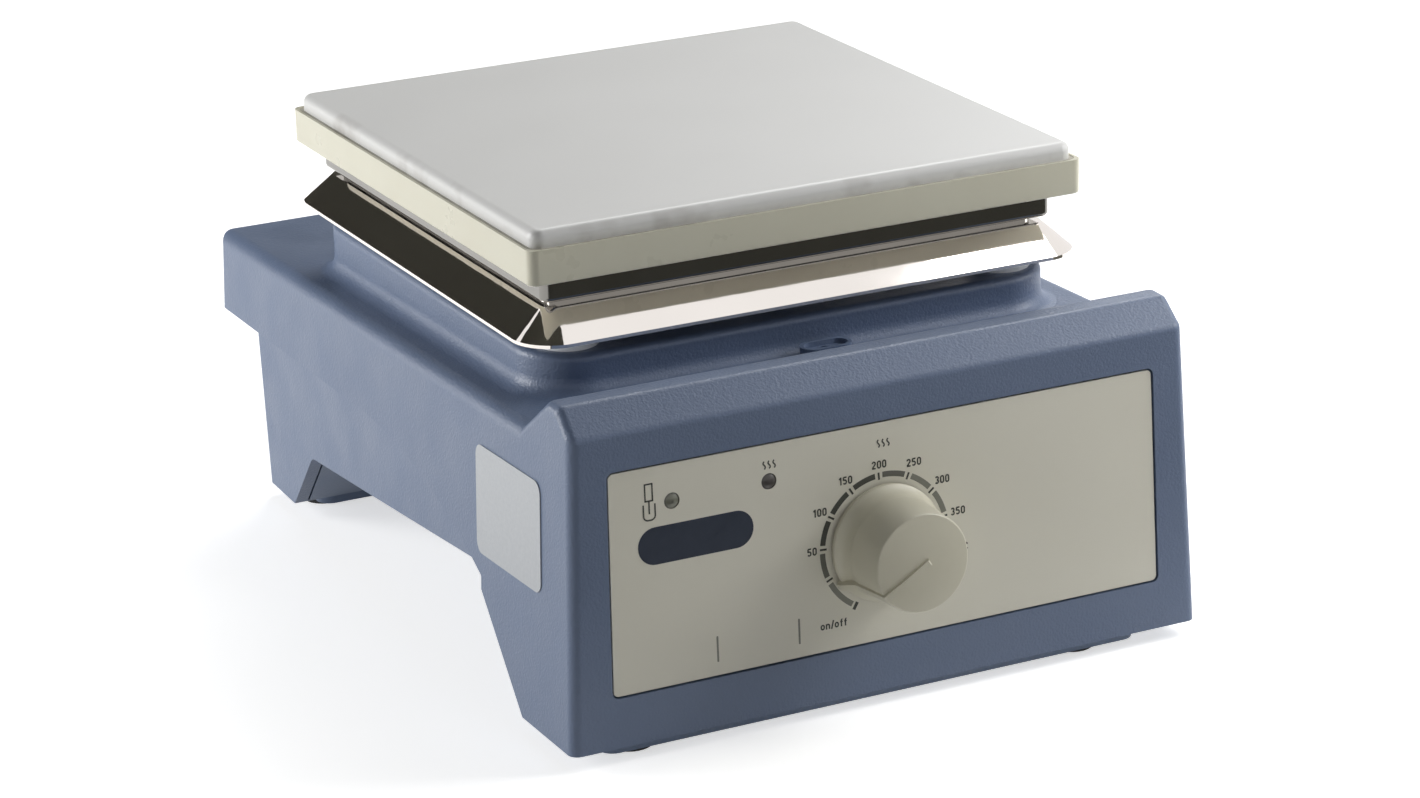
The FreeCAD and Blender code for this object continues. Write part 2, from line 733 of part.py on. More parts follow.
def cut_rear(body):
    """Cut the openings for the mains inlet, its screws and the probe socket."""
    body = body.cut(on_rear(slab(INLET_BODY[0], INLET_BODY[1], INLET_BODY_R, -REACH, OVER), INLET_X, SOCKET_Z))
    for side in (-1, 1):
        place = INLET_X + side * INLET_SCREW_PITCH / 2
        body = body.cut(on_rear(rod(INLET_SCREW_R, 0, 0, -REACH, OVER), place, SOCKET_Z))
    return body.cut(on_rear(rod(PROBE_R, 0, 0, -REACH, OVER), PROBE_X, SOCKET_Z))


def below_hollow():
    """Opens the casing's hollow downwards between the legs' outer walls."""
    top = CASING_EDGE_Z + OVER / 2
    half = half_width(CASING_EDGE_Z) - CASING_WALL
    front = front_y(CASING_EDGE_Z) + CASING_WALL
    nose = Part.makeBox(2 * half, FLARE_Y + OVER - front, top - LOW, V(-half, front, LOW))
    room = Part.makeBox(2 * WIDE, WIDE, top - LOW, V(-WIDE, FLARE_Y, LOW))
    return nose.fuse(rear_core(CASING_WALL).common(room))


def is_plinth_foot(p):
    """True on the line where the plinth meets the deck."""
    if abs(p.z - deck_z(p.y)) > 0.05:
        return False
    reach = max(abs(p.x), abs(p.y))
    if reach > PLINTH_HALF + 0.05:
        return False
    inner = PLINTH_HALF - PLINTH_CORNER_R
    dx = max(abs(p.x) - inner, 0)
    dy = max(abs(p.y) - inner, 0)
    return abs(math.hypot(dx, dy) - PLINTH_CORNER_R) < 0.05


def rod_top_z():
    return deck_z(ROD_Y) + ROD_BOSS_PROUD


def make_rod_socket():
    """Flanged M10 insert for a support rod, bored to its thread core."""
    top = rod_top_z()
    body = rod(ROD_INSERT_R, ROD_X, ROD_Y, top - ROD_DEPTH, top)
    body = body.fuse(rod(ROD_FLANGE_R, ROD_X, ROD_Y, top, top + ROD_FLANGE_THICK))
    return body.cut(rod(ROD_THREAD_R, ROD_X, ROD_Y, top - ROD_DEPTH - OVER, top + ROD_FLANGE_THICK + OVER))


def tray_sheet():
    """Sheet of the tray's thickness along the legs' lower edges and the arch."""
    floor = CASING_EDGE_Z
    front = front_y(floor) + CASING_WALL + TRAY_GAP
    back = REAR_WALL_Y - CASING_WALL - TRAY_GAP
    room = [(front, floor), (front, BEVEL_Z), (back, BEVEL_Z), (back, floor), (ARCH_REAR_FOOT_Y, floor),
            ARCH_REAR_TOP, ARCH_FRONT_TOP, (ARCH_FRONT_FOOT_Y, floor)]
    shifts = [TRAY_THICK, 0, 0, 0] + [TRAY_THICK] * 4
    sharp = [0] * len(room)
    return across(room, sharp).cut(across(moved_in(room, shifts), sharp))


def make_base_tray():
    """Folded tray that closes the casing from below, with a low pad under each leg."""
    keep = casing_hollow(CASING_WALL + TRAY_GAP).fuse(below_tray_limits())
    tray = tray_sheet().common(keep)
    floor = CASING_EDGE_Z
    left = PAD_SIDE_LEFT - CASING_HALF
    right = CASING_HALF - PAD_SIDE_RIGHT
    pads = [(left, right, front_y(floor) + PAD_INSET, ARCH_FRONT_FOOT_Y - PAD_OVERLAP),
            (left + PAD_REAR_TRIM, right - PAD_REAR_TRIM, ARCH_REAR_FOOT_Y + PAD_OVERLAP, REAR_WALL_Y - PAD_INSET)]
    for x0, x1, y0, y1 in pads:
        points = rect_points(x0, x1, y0, y1, floor - PAD_DROP)
        tray = tray.fuse(Part.Face(rounded_wire(points, [PAD_END_R] * 4)).extrude(UP * PAD_DROP))
    for x, y in FOOT_PLACES:
        tray = tray.cut(rod(FOOT_TOP_R + FOOT_POCKET_GAP, x, y, 0, FOOT_HEIGHT))
        tray = tray.cut(rod(SCREW_R + SCREW_CLEARANCE, x, y, 0, floor + TRAY_THICK + OVER))
    for i in range(VENT_COUNT):
        x = (i - (VENT_COUNT - 1) / 2) * VENT_PITCH
        slot = capsule(VENT_LENGTH, VENT_WIDTH, -TRAY_THICK - OVER, OVER)
        slot.rotate(V(0, 0, 0), UP, 90)
        tray = tray.cut(on_tray(slot, x, VENT_Y))
    return tray.removeSplitter()


def below_tray_limits():
    """Sides of the tray below the casing's own hollow, at the legs."""
    layer = Part.makeBox(2 * WIDE, 2 * WIDE, 2 * OVER, V(-WIDE, -WIDE, CASING_EDGE_Z - OVER))
    return below_hollow().common(layer)


def make_feet():
    return [cone_foot(x, y) for x, y in FOOT_PLACES]


def cone_foot(x, y):
    """Rubber foot with a tapered side and a counterbore for its screw."""
    body = Part.makeCone(FOOT_R, FOOT_TOP_R, FOOT_HEIGHT, V(x, y, 0))
    body = body.cut(rod(SCREW_HEAD_R + FOOT_POCKET_GAP, x, y, -1, FOOT_RECESS + SCREW_HEAD_H))
    return body.cut(rod(SCREW_R, x, y, -1, FOOT_HEIGHT + 1))


def make_foot_screws():
    screws = []
    for x, y in FOOT_PLACES:
        head = rod(SCREW_HEAD_R, x, y, FOOT_RECESS, FOOT_RECESS + SCREW_HEAD_H)
        shank = rod(SCREW_R, x, y, FOOT_RECESS + SCREW_HEAD_H, FOOT_HEIGHT + SCREW_LENGTH)
        slot = Part.makeBox(2 * SCREW_HEAD_R, SCREW_SLOT, SCREW_SLOT,
                            V(x - SCREW_HEAD_R, y - SCREW_SLOT / 2, FOOT_RECESS))
        screws.append(head.fuse(shank).cut(slot))
    return screws


def make_plate():
    """Ceramic work surface with rounded upper edge."""
    body = square_block(PLATE_HALF, PLATE_CORNER_R, PLATE_UNDER_Z, PLATE_TOP_Z)
    rim = edges_at(body, lambda p: abs(p.z - PLATE_TOP_Z) < 1e-6)
    return body.makeFillet(PLATE_EDGE_R, rim)


def make_seal():
    outer = square_block(SEAL_HALF, PLATE_CORNER_R, PLATE_UNDER_Z, FRAME_TOP_Z - SEAL_SINK)
    return outer.cut(square_block(PLATE_HALF, PLATE_CORNER_R, PLATE_UNDER_Z - 1, FRAME_TOP_Z + 1))


def make_frame():
    """Square frame with a rebate that the plate and its seal sit in."""
    body = square_block(FRAME_HALF, FRAME_CORNER_R, FRAME_BOTTOM_Z, FRAME_TOP_Z)
    body = body.cut(square_block(SEAL_HALF, PLATE_CORNER_R, PLATE_UNDER_Z, FRAME_TOP_Z + 1))
    body = body.cut(square_block(FRAME_OPENING_HALF, PLATE_CORNER_R, FRAME_BOTTOM_Z - 1, FRAME_TOP_Z + 1))
    lower = edges_at(body, lambda p: abs(p.z - FRAME_BOTTOM_Z) < 1e-6 and max(abs(p.x), abs(p.y)) > PLATE_HALF)
    return body.makeFillet(FRAME_EDGE_R, lower)


def make_pan():
    """Pressed steel pan that hangs the heater under the frame."""
    body = square_block(PAN_HALF, PAN_CORNER_R, PAN_FLOOR_Z, FRAME_BOTTOM_Z)
    low = edges_at(body, lambda p: abs(p.z - PAN_FLOOR_Z) < 1e-6)
    body = body.makeFillet(PAN_EDGE_R, low)
    body = body.fuse(square_block(PAN_STEP_HALF, PAN_CORNER_R, SHIELD_TOP_Z, PAN_FLOOR_Z))
    room = square_block(PAN_HALF - PAN_SHEET, PAN_CORNER_R - PAN_SHEET, PAN_FLOOR_Z + PAN_SHEET,
                        FRAME_BOTTOM_Z - PAN_SHEET)
    mouth = square_block(PAN_HALF - PAN_FLANGE, PAN_CORNER_R - PAN_SHEET, FRAME_BOTTOM_Z - 2 * PAN_SHEET,
                         FRAME_BOTTOM_Z + OVER)
    body = body.cut(room.fuse(mouth))
    return body.cut(rod(PAN_HOLE_R, 0, 0, SHIELD_TOP_Z - OVER, FRAME_BOTTOM_Z))


def make_element():
    """Mica former with a raised heating track wound to and fro across it."""
    top = PLATE_UNDER_Z
    former = square_block(ELEMENT_HALF, ELEMENT_CORNER_R, top - ELEMENT_THICK, top)
    former = former.cut(rod(SENSOR_R + SENSOR_GAP, 0, SENSOR_Y, top - ELEMENT_THICK - OVER, top + OVER))
    floor = top - ELEMENT_THICK
    rows = int((2 * ELEMENT_HALF - TRACK_WIDTH) / TRACK_PITCH)
    first = -(rows - 1) / 2 * TRACK_PITCH
    reach = ELEMENT_HALF - TRACK_MARGIN
    strips = []
    for row in range(rows):
        y = first + row * TRACK_PITCH
        if abs(y) < HEATER_HOLE_R + TRACK_WIDTH / 2:
            continue
        strips.append(Part.makeBox(2 * reach, TRACK_WIDTH, ELEMENT_TRACK,
                                   V(-reach, y - TRACK_WIDTH / 2, floor - ELEMENT_TRACK)))
    return former.multiFuse(strips)


def make_insulation():
    top = PLATE_UNDER_Z - ELEMENT_THICK - ELEMENT_TRACK
    body = square_block(INSULATION_HALF, ELEMENT_CORNER_R, PAN_FLOOR_Z + PAN_SHEET, top)
    return body.cut(rod(HEATER_HOLE_R, 0, 0, PAN_FLOOR_Z, top + OVER))


def make_terminals():
    top = PLATE_UNDER_Z - ELEMENT_THICK
    posts = []
    for side in (-1, 1):
        post = rod(TERMINAL_R, side * TERMINAL_X, 0, top - TERMINAL_LENGTH, top)
        posts.append(post.cut(rod(LEAD_R, side * TERMINAL_X, 0, top - TERMINAL_LENGTH - OVER, top - TERMINAL_END)))
    return posts


def make_sensor():
    """Sprung temperature probe that touches the plate from below."""
    top = PLATE_UNDER_Z
    body = rod(SENSOR_R, 0, SENSOR_Y, top - SENSOR_LENGTH, top)
    return body.cut(rod(LEAD_R, 0, SENSOR_Y, top - SENSOR_LENGTH - OVER, top - SENSOR_LENGTH + SENSOR_SOCKET))


def block_top_z(y):
    return tray_top_z(y) + BLOCK_SIZE[2] / math.cos(math.atan(arch_slope()))


def make_leads():
    """Heat-proof leads from the terminal block up through the grommet."""
    post_end = PLATE_UNDER_Z - ELEMENT_THICK - TERMINAL_END
    probe_end = PLATE_UNDER_Z - SENSOR_LENGTH + SENSOR_SOCKET
    ends = [(-TERMINAL_X, 0, post_end), (TERMINAL_X, 0, post_end), (0, SENSOR_Y, probe_end)]
    leads = []
    for x, y, top in ends:
        start = max(block_top_z(y - LEAD_R), block_top_z(y + LEAD_R))
        leads.append(rod(LEAD_R, x, y, start, top))
    return leads


def make_grommet():
    """Ring gripped by the plinth's edge, with three holes for the leads."""
    low = PLINTH_Z - CASING_WALL
    lip_r = LEAD_HOLE_R + GROMMET_LIP
    body = rod(LEAD_HOLE_R, 0, 0, low, PLINTH_Z)
    body = body.fuse(rod(lip_r, 0, 0, PLINTH_Z, PLINTH_Z + GROMMET_LIP_THICK))
    body = body.fuse(rod(lip_r, 0, 0, low - GROMMET_LIP_THICK, low))
    for x, y in ((-TERMINAL_X, 0), (TERMINAL_X, 0), (0, SENSOR_Y)):
        body = body.cut(rod(LEAD_R, x, y, low - REACH, PLINTH_Z + REACH))
    return body


def shield_skin(drop):
    """Frustum of the shield, moved down by drop."""
    top = SHIELD_TOP_Z - drop
    wires = [square_wire(SHIELD_HALF, SHIELD_CORNER_R, top),
             square_wire(SHIELD_OUTER_HALF, SHIELD_OUTER_R, top - SHIELD_DROP)]
    return Part.makeLoft(wires, True, True)


def make_shield():
    """Polished sheet with four downswept wings, lip and holes."""
    low = SHIELD_TOP_Z - SHIELD_DROP
    body = shield_skin(0.0).cut(shield_skin(SHIELD_SHEET))
    body = body.cut(Part.makeBox(2 * WIDE, 2 * WIDE, REACH, V(-WIDE, -WIDE, low - REACH)))
    inner = SHIELD_OUTER_HALF - SHIELD_SHEET
    lip = square_block(SHIELD_OUTER_HALF, SHIELD_OUTER_R, low - SHIELD_LIP, low)
    lip = lip.cut(square_block(inner, SHIELD_OUTER_R - SHIELD_SHEET, low - SHIELD_LIP - OVER, low + OVER))
    body = body.fuse(lip)
    body = body.cut(rod(SHIELD_HOLE_R, 0, 0, low, SHIELD_TOP_Z + OVER))
    for x, y in STUD_PLACES:
        body = body.cut(rod(STUD_R + STUD_CLEARANCE, x, y, low, SHIELD_TOP_Z + OVER))
    return body


def make_spacers():
    spacers = []
    for x, y in STUD_PLACES:
        spacers.append(tube(SPACER_R, STUD_R + STUD_CLEARANCE, x, y, PLINTH_Z, SPACER_TOP_Z))
    return spacers


def make_studs():
    low = PLINTH_Z - CASING_WALL - STUD_WASHER_THICK - STUD_NUT_THICK - STUD_END
    return [rod(STUD_R, x, y, low, SHIELD_TOP_Z) for x, y in STUD_PLACES]


def make_stud_washers():
    top = PLINTH_Z - CASING_WALL
    return [tube(STUD_WASHER_R, STUD_R, x, y, top - STUD_WASHER_THICK, top) for x, y in STUD_PLACES]


def make_stud_nuts():
    top = PLINTH_Z - CASING_WALL - STUD_WASHER_THICK
    nuts = []
    for x, y in STUD_PLACES:
        nut = hexagon(STUD_NUT_AF, x, y, top - STUD_NUT_THICK, top)
        nuts.append(nut.cut(rod(STUD_R, x, y, top - STUD_NUT_THICK - 1, top + 1)))
    return nuts


def panel_block(grow, z0, z1):
    """Fascia's outline, a little wider at its foot, grown by a gap, from z0 to z1."""
    top = CASING_HALF - PANEL_SIDE_TOP + grow
    foot = CASING_HALF - PANEL_SIDE_FOOT + grow
    half = PANEL_HEIGHT / 2 + grow
    points = [V(-foot, -half, z0), V(foot, -half, z0), V(top, half, z0), V(-top, half, z0)]
    return Part.Face(rounded_wire(points, [PANEL_CORNER_R + grow] * 4)).extrude(UP * (z1 - z0))


def make_panel():
    """Fascia panel with holes for the control's bush and the two lamps."""
    body = panel_block(0.0, -PANEL_THICK, 0)
    body = body.cut(rod(BUSH_R, DIAL[0], DIAL[1], -REACH, REACH))
    for x, up in (LAMP_LEFT, LAMP_RIGHT):
        body = body.cut(rod(LAMP_R, x, up, -REACH, REACH))
    return on_front(body)


def make_lens(place):
    """Domed lamp lens with a stepped rim behind the wall."""
    back = -CASING_WALL - PANEL_SINK
    dome = Part.makeSphere(LAMP_DOME_R, V(0, 0, LAMP_PROUD - LAMP_DOME_R))
    stem = rod(LAMP_R, 0, 0, back, LAMP_PROUD).common(dome.fuse(rod(LAMP_R, 0, 0, back, -LAMP_DOME_START)))
    rim = rod(LAMP_RIM_R, 0, 0, back - LAMP_RIM_THICK, back)
    body = stem.fuse(rim).cut(rod(LED_R, 0, 0, back - LAMP_RIM_THICK - OVER, back + LED_REACH))
    return on_front(body, place[0], place[1])


def board_out():
    """Distance of the board's front from the fascia's front."""
    return -CASING_WALL - PANEL_SINK - BOARD_STANDOFF


def make_leds():
    leds = []
    back = -CASING_WALL - PANEL_SINK
    for x, up in (LAMP_LEFT, LAMP_RIGHT):
        leds.append(on_front(rod(LED_R, 0, 0, board_out(), back + LED_REACH), x, up))
    return leds


def board_corners():
    return [(BOARD_X + sx * (BOARD_WIDTH / 2 - BOARD_HOLE_INSET), BOARD_Y + sy * (BOARD_HEIGHT / 2 - BOARD_HOLE_INSET))
            for sx in (-1, 1) for sy in (-1, 1)]


def behind_board(size, place):
    """Box of a component that stands on the board's rear face."""
    width, height, depth = size
    return Part.makeBox(width, height, depth, V(place[0] - width / 2, place[1] - height / 2, -BOARD_THICK - depth))


def make_board():
    """Board with a relay, a chip and a capacitor on its rear face."""
    body = slab(BOARD_WIDTH, BOARD_HEIGHT, BOARD_CORNER_R, -BOARD_THICK, 0)
    capacitor = rod(CAPACITOR_R, CAPACITOR_PLACE[0], CAPACITOR_PLACE[1], -BOARD_THICK - CAPACITOR_LENGTH, -BOARD_THICK)
    body = body.multiFuse([behind_board(RELAY_SIZE, (0, 0)), behind_board(CHIP_SIZE, CHIP_PLACE), capacitor])
    for x, up in board_corners():
        body = body.cut(rod(BOARD_SCREW_R, x - BOARD_X, up - BOARD_Y, -BOARD_THICK - OVER, OVER))
    return on_front(body, BOARD_X, BOARD_Y, board_out())


def make_standoffs():
    back = -CASING_WALL - PANEL_SINK
    posts = []
    for x, up in board_corners():
        posts.append(on_front(tube(STANDOFF_R, BOARD_SCREW_R, 0, 0, board_out(), back), x, up))
    return posts


def make_board_screws():
    screws = []
    for x, up in board_corners():
        back = board_out() - BOARD_THICK
        head = rod(STANDOFF_R, 0, 0, back - BOARD_SCREW_HEAD, back)
        screws.append(on_front(head.fuse(rod(BOARD_SCREW_R, 0, 0, back, back + BOARD_SCREW_LENGTH)), x, up))
    return screws


def make_control():
    """Rotary control with a flanged can and a bush for its shaft."""
    back = -CASING_WALL - PANEL_SINK
    body = rod(CONTROL_R, 0, 0, back - CONTROL_DEPTH, back)
    body = body.fuse(rod(BUSH_R, 0, 0, back, back + BUSH_LENGTH))
    tags = [Part.makeBox(TAG_WIDTH, TAG_LENGTH + TAG_ROOT, TAG_THICK,
                         V(i * TAG_PITCH - TAG_WIDTH / 2, -CONTROL_R - TAG_LENGTH, back - TAG_SET_BACK))
            for i in (-1, 0, 1)]
    body = body.multiFuse(tags)
    floor = back - CONTROL_DEPTH + CONTROL_BACK_WALL
    bore = rod(SHAFT_R + SHAFT_CLEARANCE, 0, 0, floor, back + BUSH_LENGTH + OVER)
    return on_front(body.cut(bore), DIAL[0], DIAL[1])


def make_control_washer():
    return on_front(tube(CONTROL_WASHER_R, BUSH_R, 0, 0, 0, CONTROL_WASHER_THICK), DIAL[0], DIAL[1])


def make_control_nut():
    low = CONTROL_WASHER_THICK
    nut = hexagon(CONTROL_NUT_AF, 0, 0, low, low + CONTROL_NUT_THICK).cut(rod(BUSH_R, 0, 0, -REACH, REACH))
    return on_front(nut, DIAL[0], DIAL[1])


def shaft_end():
    """Outer end of the shaft, measured from the fascia."""
    return KNOB_GAP + KNOB_HEIGHT - KNOB_FACE_WALL - KNOB_INSERT_END


def shaft_flat(start):
    """Space beside the shaft's flat, from start to beyond the shaft's end."""
    corner = V(-WIDE / 2, SHAFT_R - SHAFT_FLAT, start)
    return Part.makeBox(WIDE, SHAFT_R, shaft_end() - start + OVER, corner)


def make_shaft():
    top = shaft_end()
    body = rod(SHAFT_R, 0, 0, top - SHAFT_LENGTH, top)
    return turned(body.cut(shaft_flat(KNOB_GAP + KNOB_HUB_LIFT)))


def turned(shape):
    """Turn a knob piece to the pointer's angle and set it on the dial's centre."""
    turn = FreeCAD.Placement(V(0, 0, 0), FreeCAD.Rotation(UP, POINTER_DEG))
    return on_front(placed(shape, turn), DIAL[0], DIAL[1])


def knob_dome_z(radius):
    """Height of the knob's domed face at a distance from its middle."""
    reach = KNOB_FACE_R - KNOB_FACE_EDGE
    ball = (reach ** 2 + KNOB_DOME ** 2) / (2 * KNOB_DOME)
    return KNOB_HEIGHT - ball + math.sqrt(ball ** 2 - radius ** 2)


def knob_profile():
    """Half section (radius, height) of the knob's outside, from rim to domed face."""
    reach = KNOB_FACE_R - KNOB_FACE_EDGE
    rim_z = KNOB_HEIGHT - KNOB_DOME
    rim = V(KNOB_SKIRT_R, 0, KNOB_SKIRT_THICK)
    neck = V(KNOB_NECK_R, 0, KNOB_SKIRT_THICK + KNOB_FLARE_H)
    bend = V(KNOB_FLARE_BEND[0], 0, KNOB_FLARE_BEND[1])
    face_low = V(KNOB_FACE_R, 0, rim_z - KNOB_FACE_EDGE)
    face_in = V(reach, 0, rim_z)
    bevel = KNOB_FACE_EDGE * (1 - math.sqrt(0.5))
    shoulder = V(KNOB_FACE_R - bevel, 0, rim_z - bevel)
    crown = V(0, 0, KNOB_HEIGHT)
    return [Part.LineSegment(V(0, 0, 0), V(KNOB_SKIRT_R, 0, 0)).toShape(),
            Part.LineSegment(V(KNOB_SKIRT_R, 0, 0), rim).toShape(),
            Part.Arc(rim, bend, neck).toShape(),
            Part.LineSegment(neck, face_low).toShape(),
            Part.Arc(face_low, shoulder, face_in).toShape(),
            Part.Arc(face_in, V(reach / 2, 0, knob_dome_z(reach / 2)), crown).toShape(),
            Part.LineSegment(crown, V(0, 0, 0)).toShape()]


def knob_ridge():
    """Pointer ridge: across the face, down the barrel and out over the skirt."""
    neck_z = KNOB_SKIRT_THICK + KNOB_FLARE_H
    half = RIDGE_WIDTH / 2
    rim_z = KNOB_HEIGHT - KNOB_DOME
    middle = KNOB_FACE_R / 2
    root = KNOB_FACE_R - KNOB_WALL + RIDGE_ROOT
    outline = [V(-RIDGE_TAIL, 0, rim_z - RIDGE_ROOT), V(-RIDGE_TAIL, 0, KNOB_HEIGHT + RIDGE_PROUD),
               V(middle, 0, knob_dome_z(middle) + RIDGE_PROUD), V(KNOB_FACE_R + RIDGE_PROUD / 2, 0, rim_z + RIDGE_PROUD),
               V(KNOB_NECK_R + RIDGE_SIDE_PROUD, 0, neck_z), V(RIDGE_TIP_R, 0, KNOB_SKIRT_THICK),
               V(RIDGE_TIP_R, 0, 0), V(root, 0, 0), V(root, 0, rim_z - RIDGE_ROOT)]
    wire = rounded_wire(outline, [0, RIDGE_EDGE_R, 0, RIDGE_RIM_R, RIDGE_BEND_R, RIDGE_EDGE_R, 0, 0, 0])
    fin = Part.Face(wire).extrude(V(0, RIDGE_WIDTH, 0))
    fin.translate(V(0, -half, 0))
    return fin


def make_knob():
    """Moulded knob: flared skirt, barrel, pointer ridge, hollow back and hub."""
    outside = Part.Face(Part.Wire(knob_profile())).revolve(V(0, 0, 0), UP, 360)
    body = outside.fuse(knob_ridge())
    room = rod(KNOB_FACE_R - KNOB_WALL, 0, 0, -OVER, KNOB_HEIGHT - KNOB_FACE_WALL)
    hub = rod(KNOB_HUB_R, 0, 0, KNOB_HUB_LIFT, KNOB_HEIGHT)
    body = body.cut(room.cut(hub))
    body = body.cut(rod(KNOB_INSERT_R, 0, 0, KNOB_HUB_LIFT - OVER, KNOB_HEIGHT - KNOB_FACE_WALL))
    return turned(body.translated(V(0, 0, KNOB_GAP)))


def make_knob_insert():
    """Brass sleeve moulded into the hub, gripping the shaft."""
    low = KNOB_GAP + KNOB_HUB_LIFT
    body = rod(KNOB_INSERT_R, 0, 0, low, KNOB_GAP + KNOB_HEIGHT - KNOB_FACE_WALL)
    top = shaft_end()
    bore = rod(SHAFT_R, 0, 0, top - SHAFT_LENGTH, top)
    return turned(body.cut(bore.cut(shaft_flat(low))))


def make_sink():
    """Finned heat sink bolted to the inside of the front wall."""
    back = -CASING_WALL - PANEL_SINK
    base = slab(SINK_WIDTH, SINK_HEIGHT, SINK_CORNER_R, back - SINK_BASE, back)
    pitch = (SINK_WIDTH - SINK_FIN_THICK) / (SINK_FINS - 1)
    fins = []
    for i in range(SINK_FINS):
        x = -SINK_WIDTH / 2 + i * pitch
        fins.append(Part.makeBox(SINK_FIN_THICK, SINK_HEIGHT - SINK_TAB, SINK_FIN,
                                 V(x, -SINK_HEIGHT / 2, back - SINK_BASE - SINK_FIN)))
    return on_front(base.multiFuse(fins), SINK_X, 0)


def make_triac():
    """Power switch clamped to the bare strip along the heat sink's top."""
    width, height, depth = TRIAC_SIZE
    back = -CASING_WALL - PANEL_SINK - SINK_BASE
    body = slab(width, height, TRIAC_CORNER_R, back - depth, back)
    legs = [Part.makeBox(TRIAC_LEG, TRIAC_LEG_LENGTH, TRIAC_LEG,
                         V(i * TRIAC_LEG_PITCH - TRIAC_LEG / 2, height / 2, back - depth / 2))
            for i in (-1, 0, 1)]
    return on_front(body.multiFuse(legs), SINK_X, (SINK_HEIGHT - height) / 2 - TRIAC_INSET)


def make_transformer():
    """Laminated core with its winding, standing on the tray."""
    width, depth, height = TRANSFORMER_SIZE
    core = Part.makeBox(width, depth - 2 * TRANSFORMER_COIL, height, V(-width / 2, -depth / 2 + TRANSFORMER_COIL, 0))
    coil = slab(TRANSFORMER_COIL_WIDTH, depth, TRANSFORMER_COIL_R, TRANSFORMER_COIL, height - TRANSFORMER_COIL)
    return on_tray(core.fuse(coil), TRANSFORMER_X, TRANSFORMER_Y)


def make_block():
    """Ceramic terminal block with a screw well for each way."""
    width, depth, height = BLOCK_SIZE
    body = Part.makeBox(width, depth, height, V(-width / 2, -depth / 2, 0))
    pitch = width / BLOCK_WAYS
    slot_width, slot_reach, slot_depth = BLOCK_SLOT
    for i in range(BLOCK_WAYS):
        x = (i - (BLOCK_WAYS - 1) / 2) * pitch
        body = body.cut(rod(BLOCK_WELL_R, x, BLOCK_WELL_INSET - depth / 2, height - BLOCK_WELL_DEPTH, height + OVER))
        if i:
            corner = V(x - (pitch + slot_width) / 2, -depth / 2, height - slot_depth)
            body = body.cut(Part.makeBox(slot_width, slot_reach, slot_depth, corner))
    return on_tray(body, 0, SENSOR_Y / 2)


def make_earth_stud():
    stud = rod(EARTH_R, 0, 0, 0, EARTH_LENGTH)
    return on_tray(stud.fuse(rod(EARTH_FLANGE_R, 0, 0, 0, EARTH_FLANGE_THICK)), EARTH_X, EARTH_Y)


def make_earth_nut():
    nut = hexagon(STUD_NUT_AF, 0, 0, EARTH_FLANGE_THICK, EARTH_FLANGE_THICK + STUD_NUT_THICK)
    return on_tray(nut.cut(rod(EARTH_R, 0, 0, 0, EARTH_LENGTH)), EARTH_X, EARTH_Y)


def make_inlet():
    """Flanged mains inlet with its shaped mouth."""
    body = slab(INLET_FLANGE[0], INLET_FLANGE[1], INLET_FLANGE_R, 0, INLET_FLANGE_THICK)
    body = body.fuse(slab(INLET_BODY[0], INLET_BODY[1], INLET_BODY_R, INLET_FLANGE_THICK - INLET_DEPTH, OVER))
    half, top = INLET_MOUTH[0] / 2, INLET_MOUTH[1] / 2
    points = [V(-half, -top, 0), V(half, -top, 0), V(half, top - INLET_MOUTH_CUT, 0),
              V(half - INLET_MOUTH_CUT, top, 0), V(INLET_MOUTH_CUT - half, top, 0), V(-half, top - INLET_MOUTH_CUT, 0)]
    mouth = Part.Face(rounded_wire(points, [INLET_MOUTH_R] * 6)).extrude(UP * (INLET_MOUTH_DEPTH + OVER))
    mouth.translate(UP * (INLET_FLANGE_THICK - INLET_MOUTH_DEPTH))
    body = body.cut(mouth)
    for side in (-1, 1):
        body = body.cut(rod(INLET_SCREW_R, side * INLET_SCREW_PITCH / 2, 0, -REACH, REACH))
    return on_rear(body, INLET_X, SOCKET_Z)


def make_inlet_pins():
    width, height, length = INLET_PIN
    floor = INLET_FLANGE_THICK - INLET_MOUTH_DEPTH
    pins = []
    places = ((-INLET_PIN_PITCH, INLET_PIN_RISE), (0, -INLET_EARTH_DROP), (INLET_PIN_PITCH, INLET_PIN_RISE))
    for x, y in places:
        pin = Part.makeBox(width, height, length, V(x - width / 2, y - height / 2, floor))
        pins.append(on_rear(pin, INLET_X, SOCKET_Z))
    return pins


def make_inlet_screws():
    screws = []
    for side in (-1, 1):
        head_z = INLET_FLANGE_THICK + INLET_SCREW_HEAD
        screw = rod(INLET_SCREW_HEAD_R, 0, 0, INLET_FLANGE_THICK, head_z)
        screw = screw.fuse(rod(INLET_SCREW_R, 0, 0, -CASING_WALL - INLET_SCREW_REACH, INLET_FLANGE_THICK))
        corner = V(-INLET_SCREW_HEAD_R, -SCREW_SLOT / 2, head_z - SCREW_SLOT)
        screw = screw.cut(Part.makeBox(2 * INLET_SCREW_HEAD_R, SCREW_SLOT, SCREW_SLOT, corner))
        screws.append(on_rear(screw, INLET_X + side * INLET_SCREW_PITCH / 2, SOCKET_Z))
    return screws


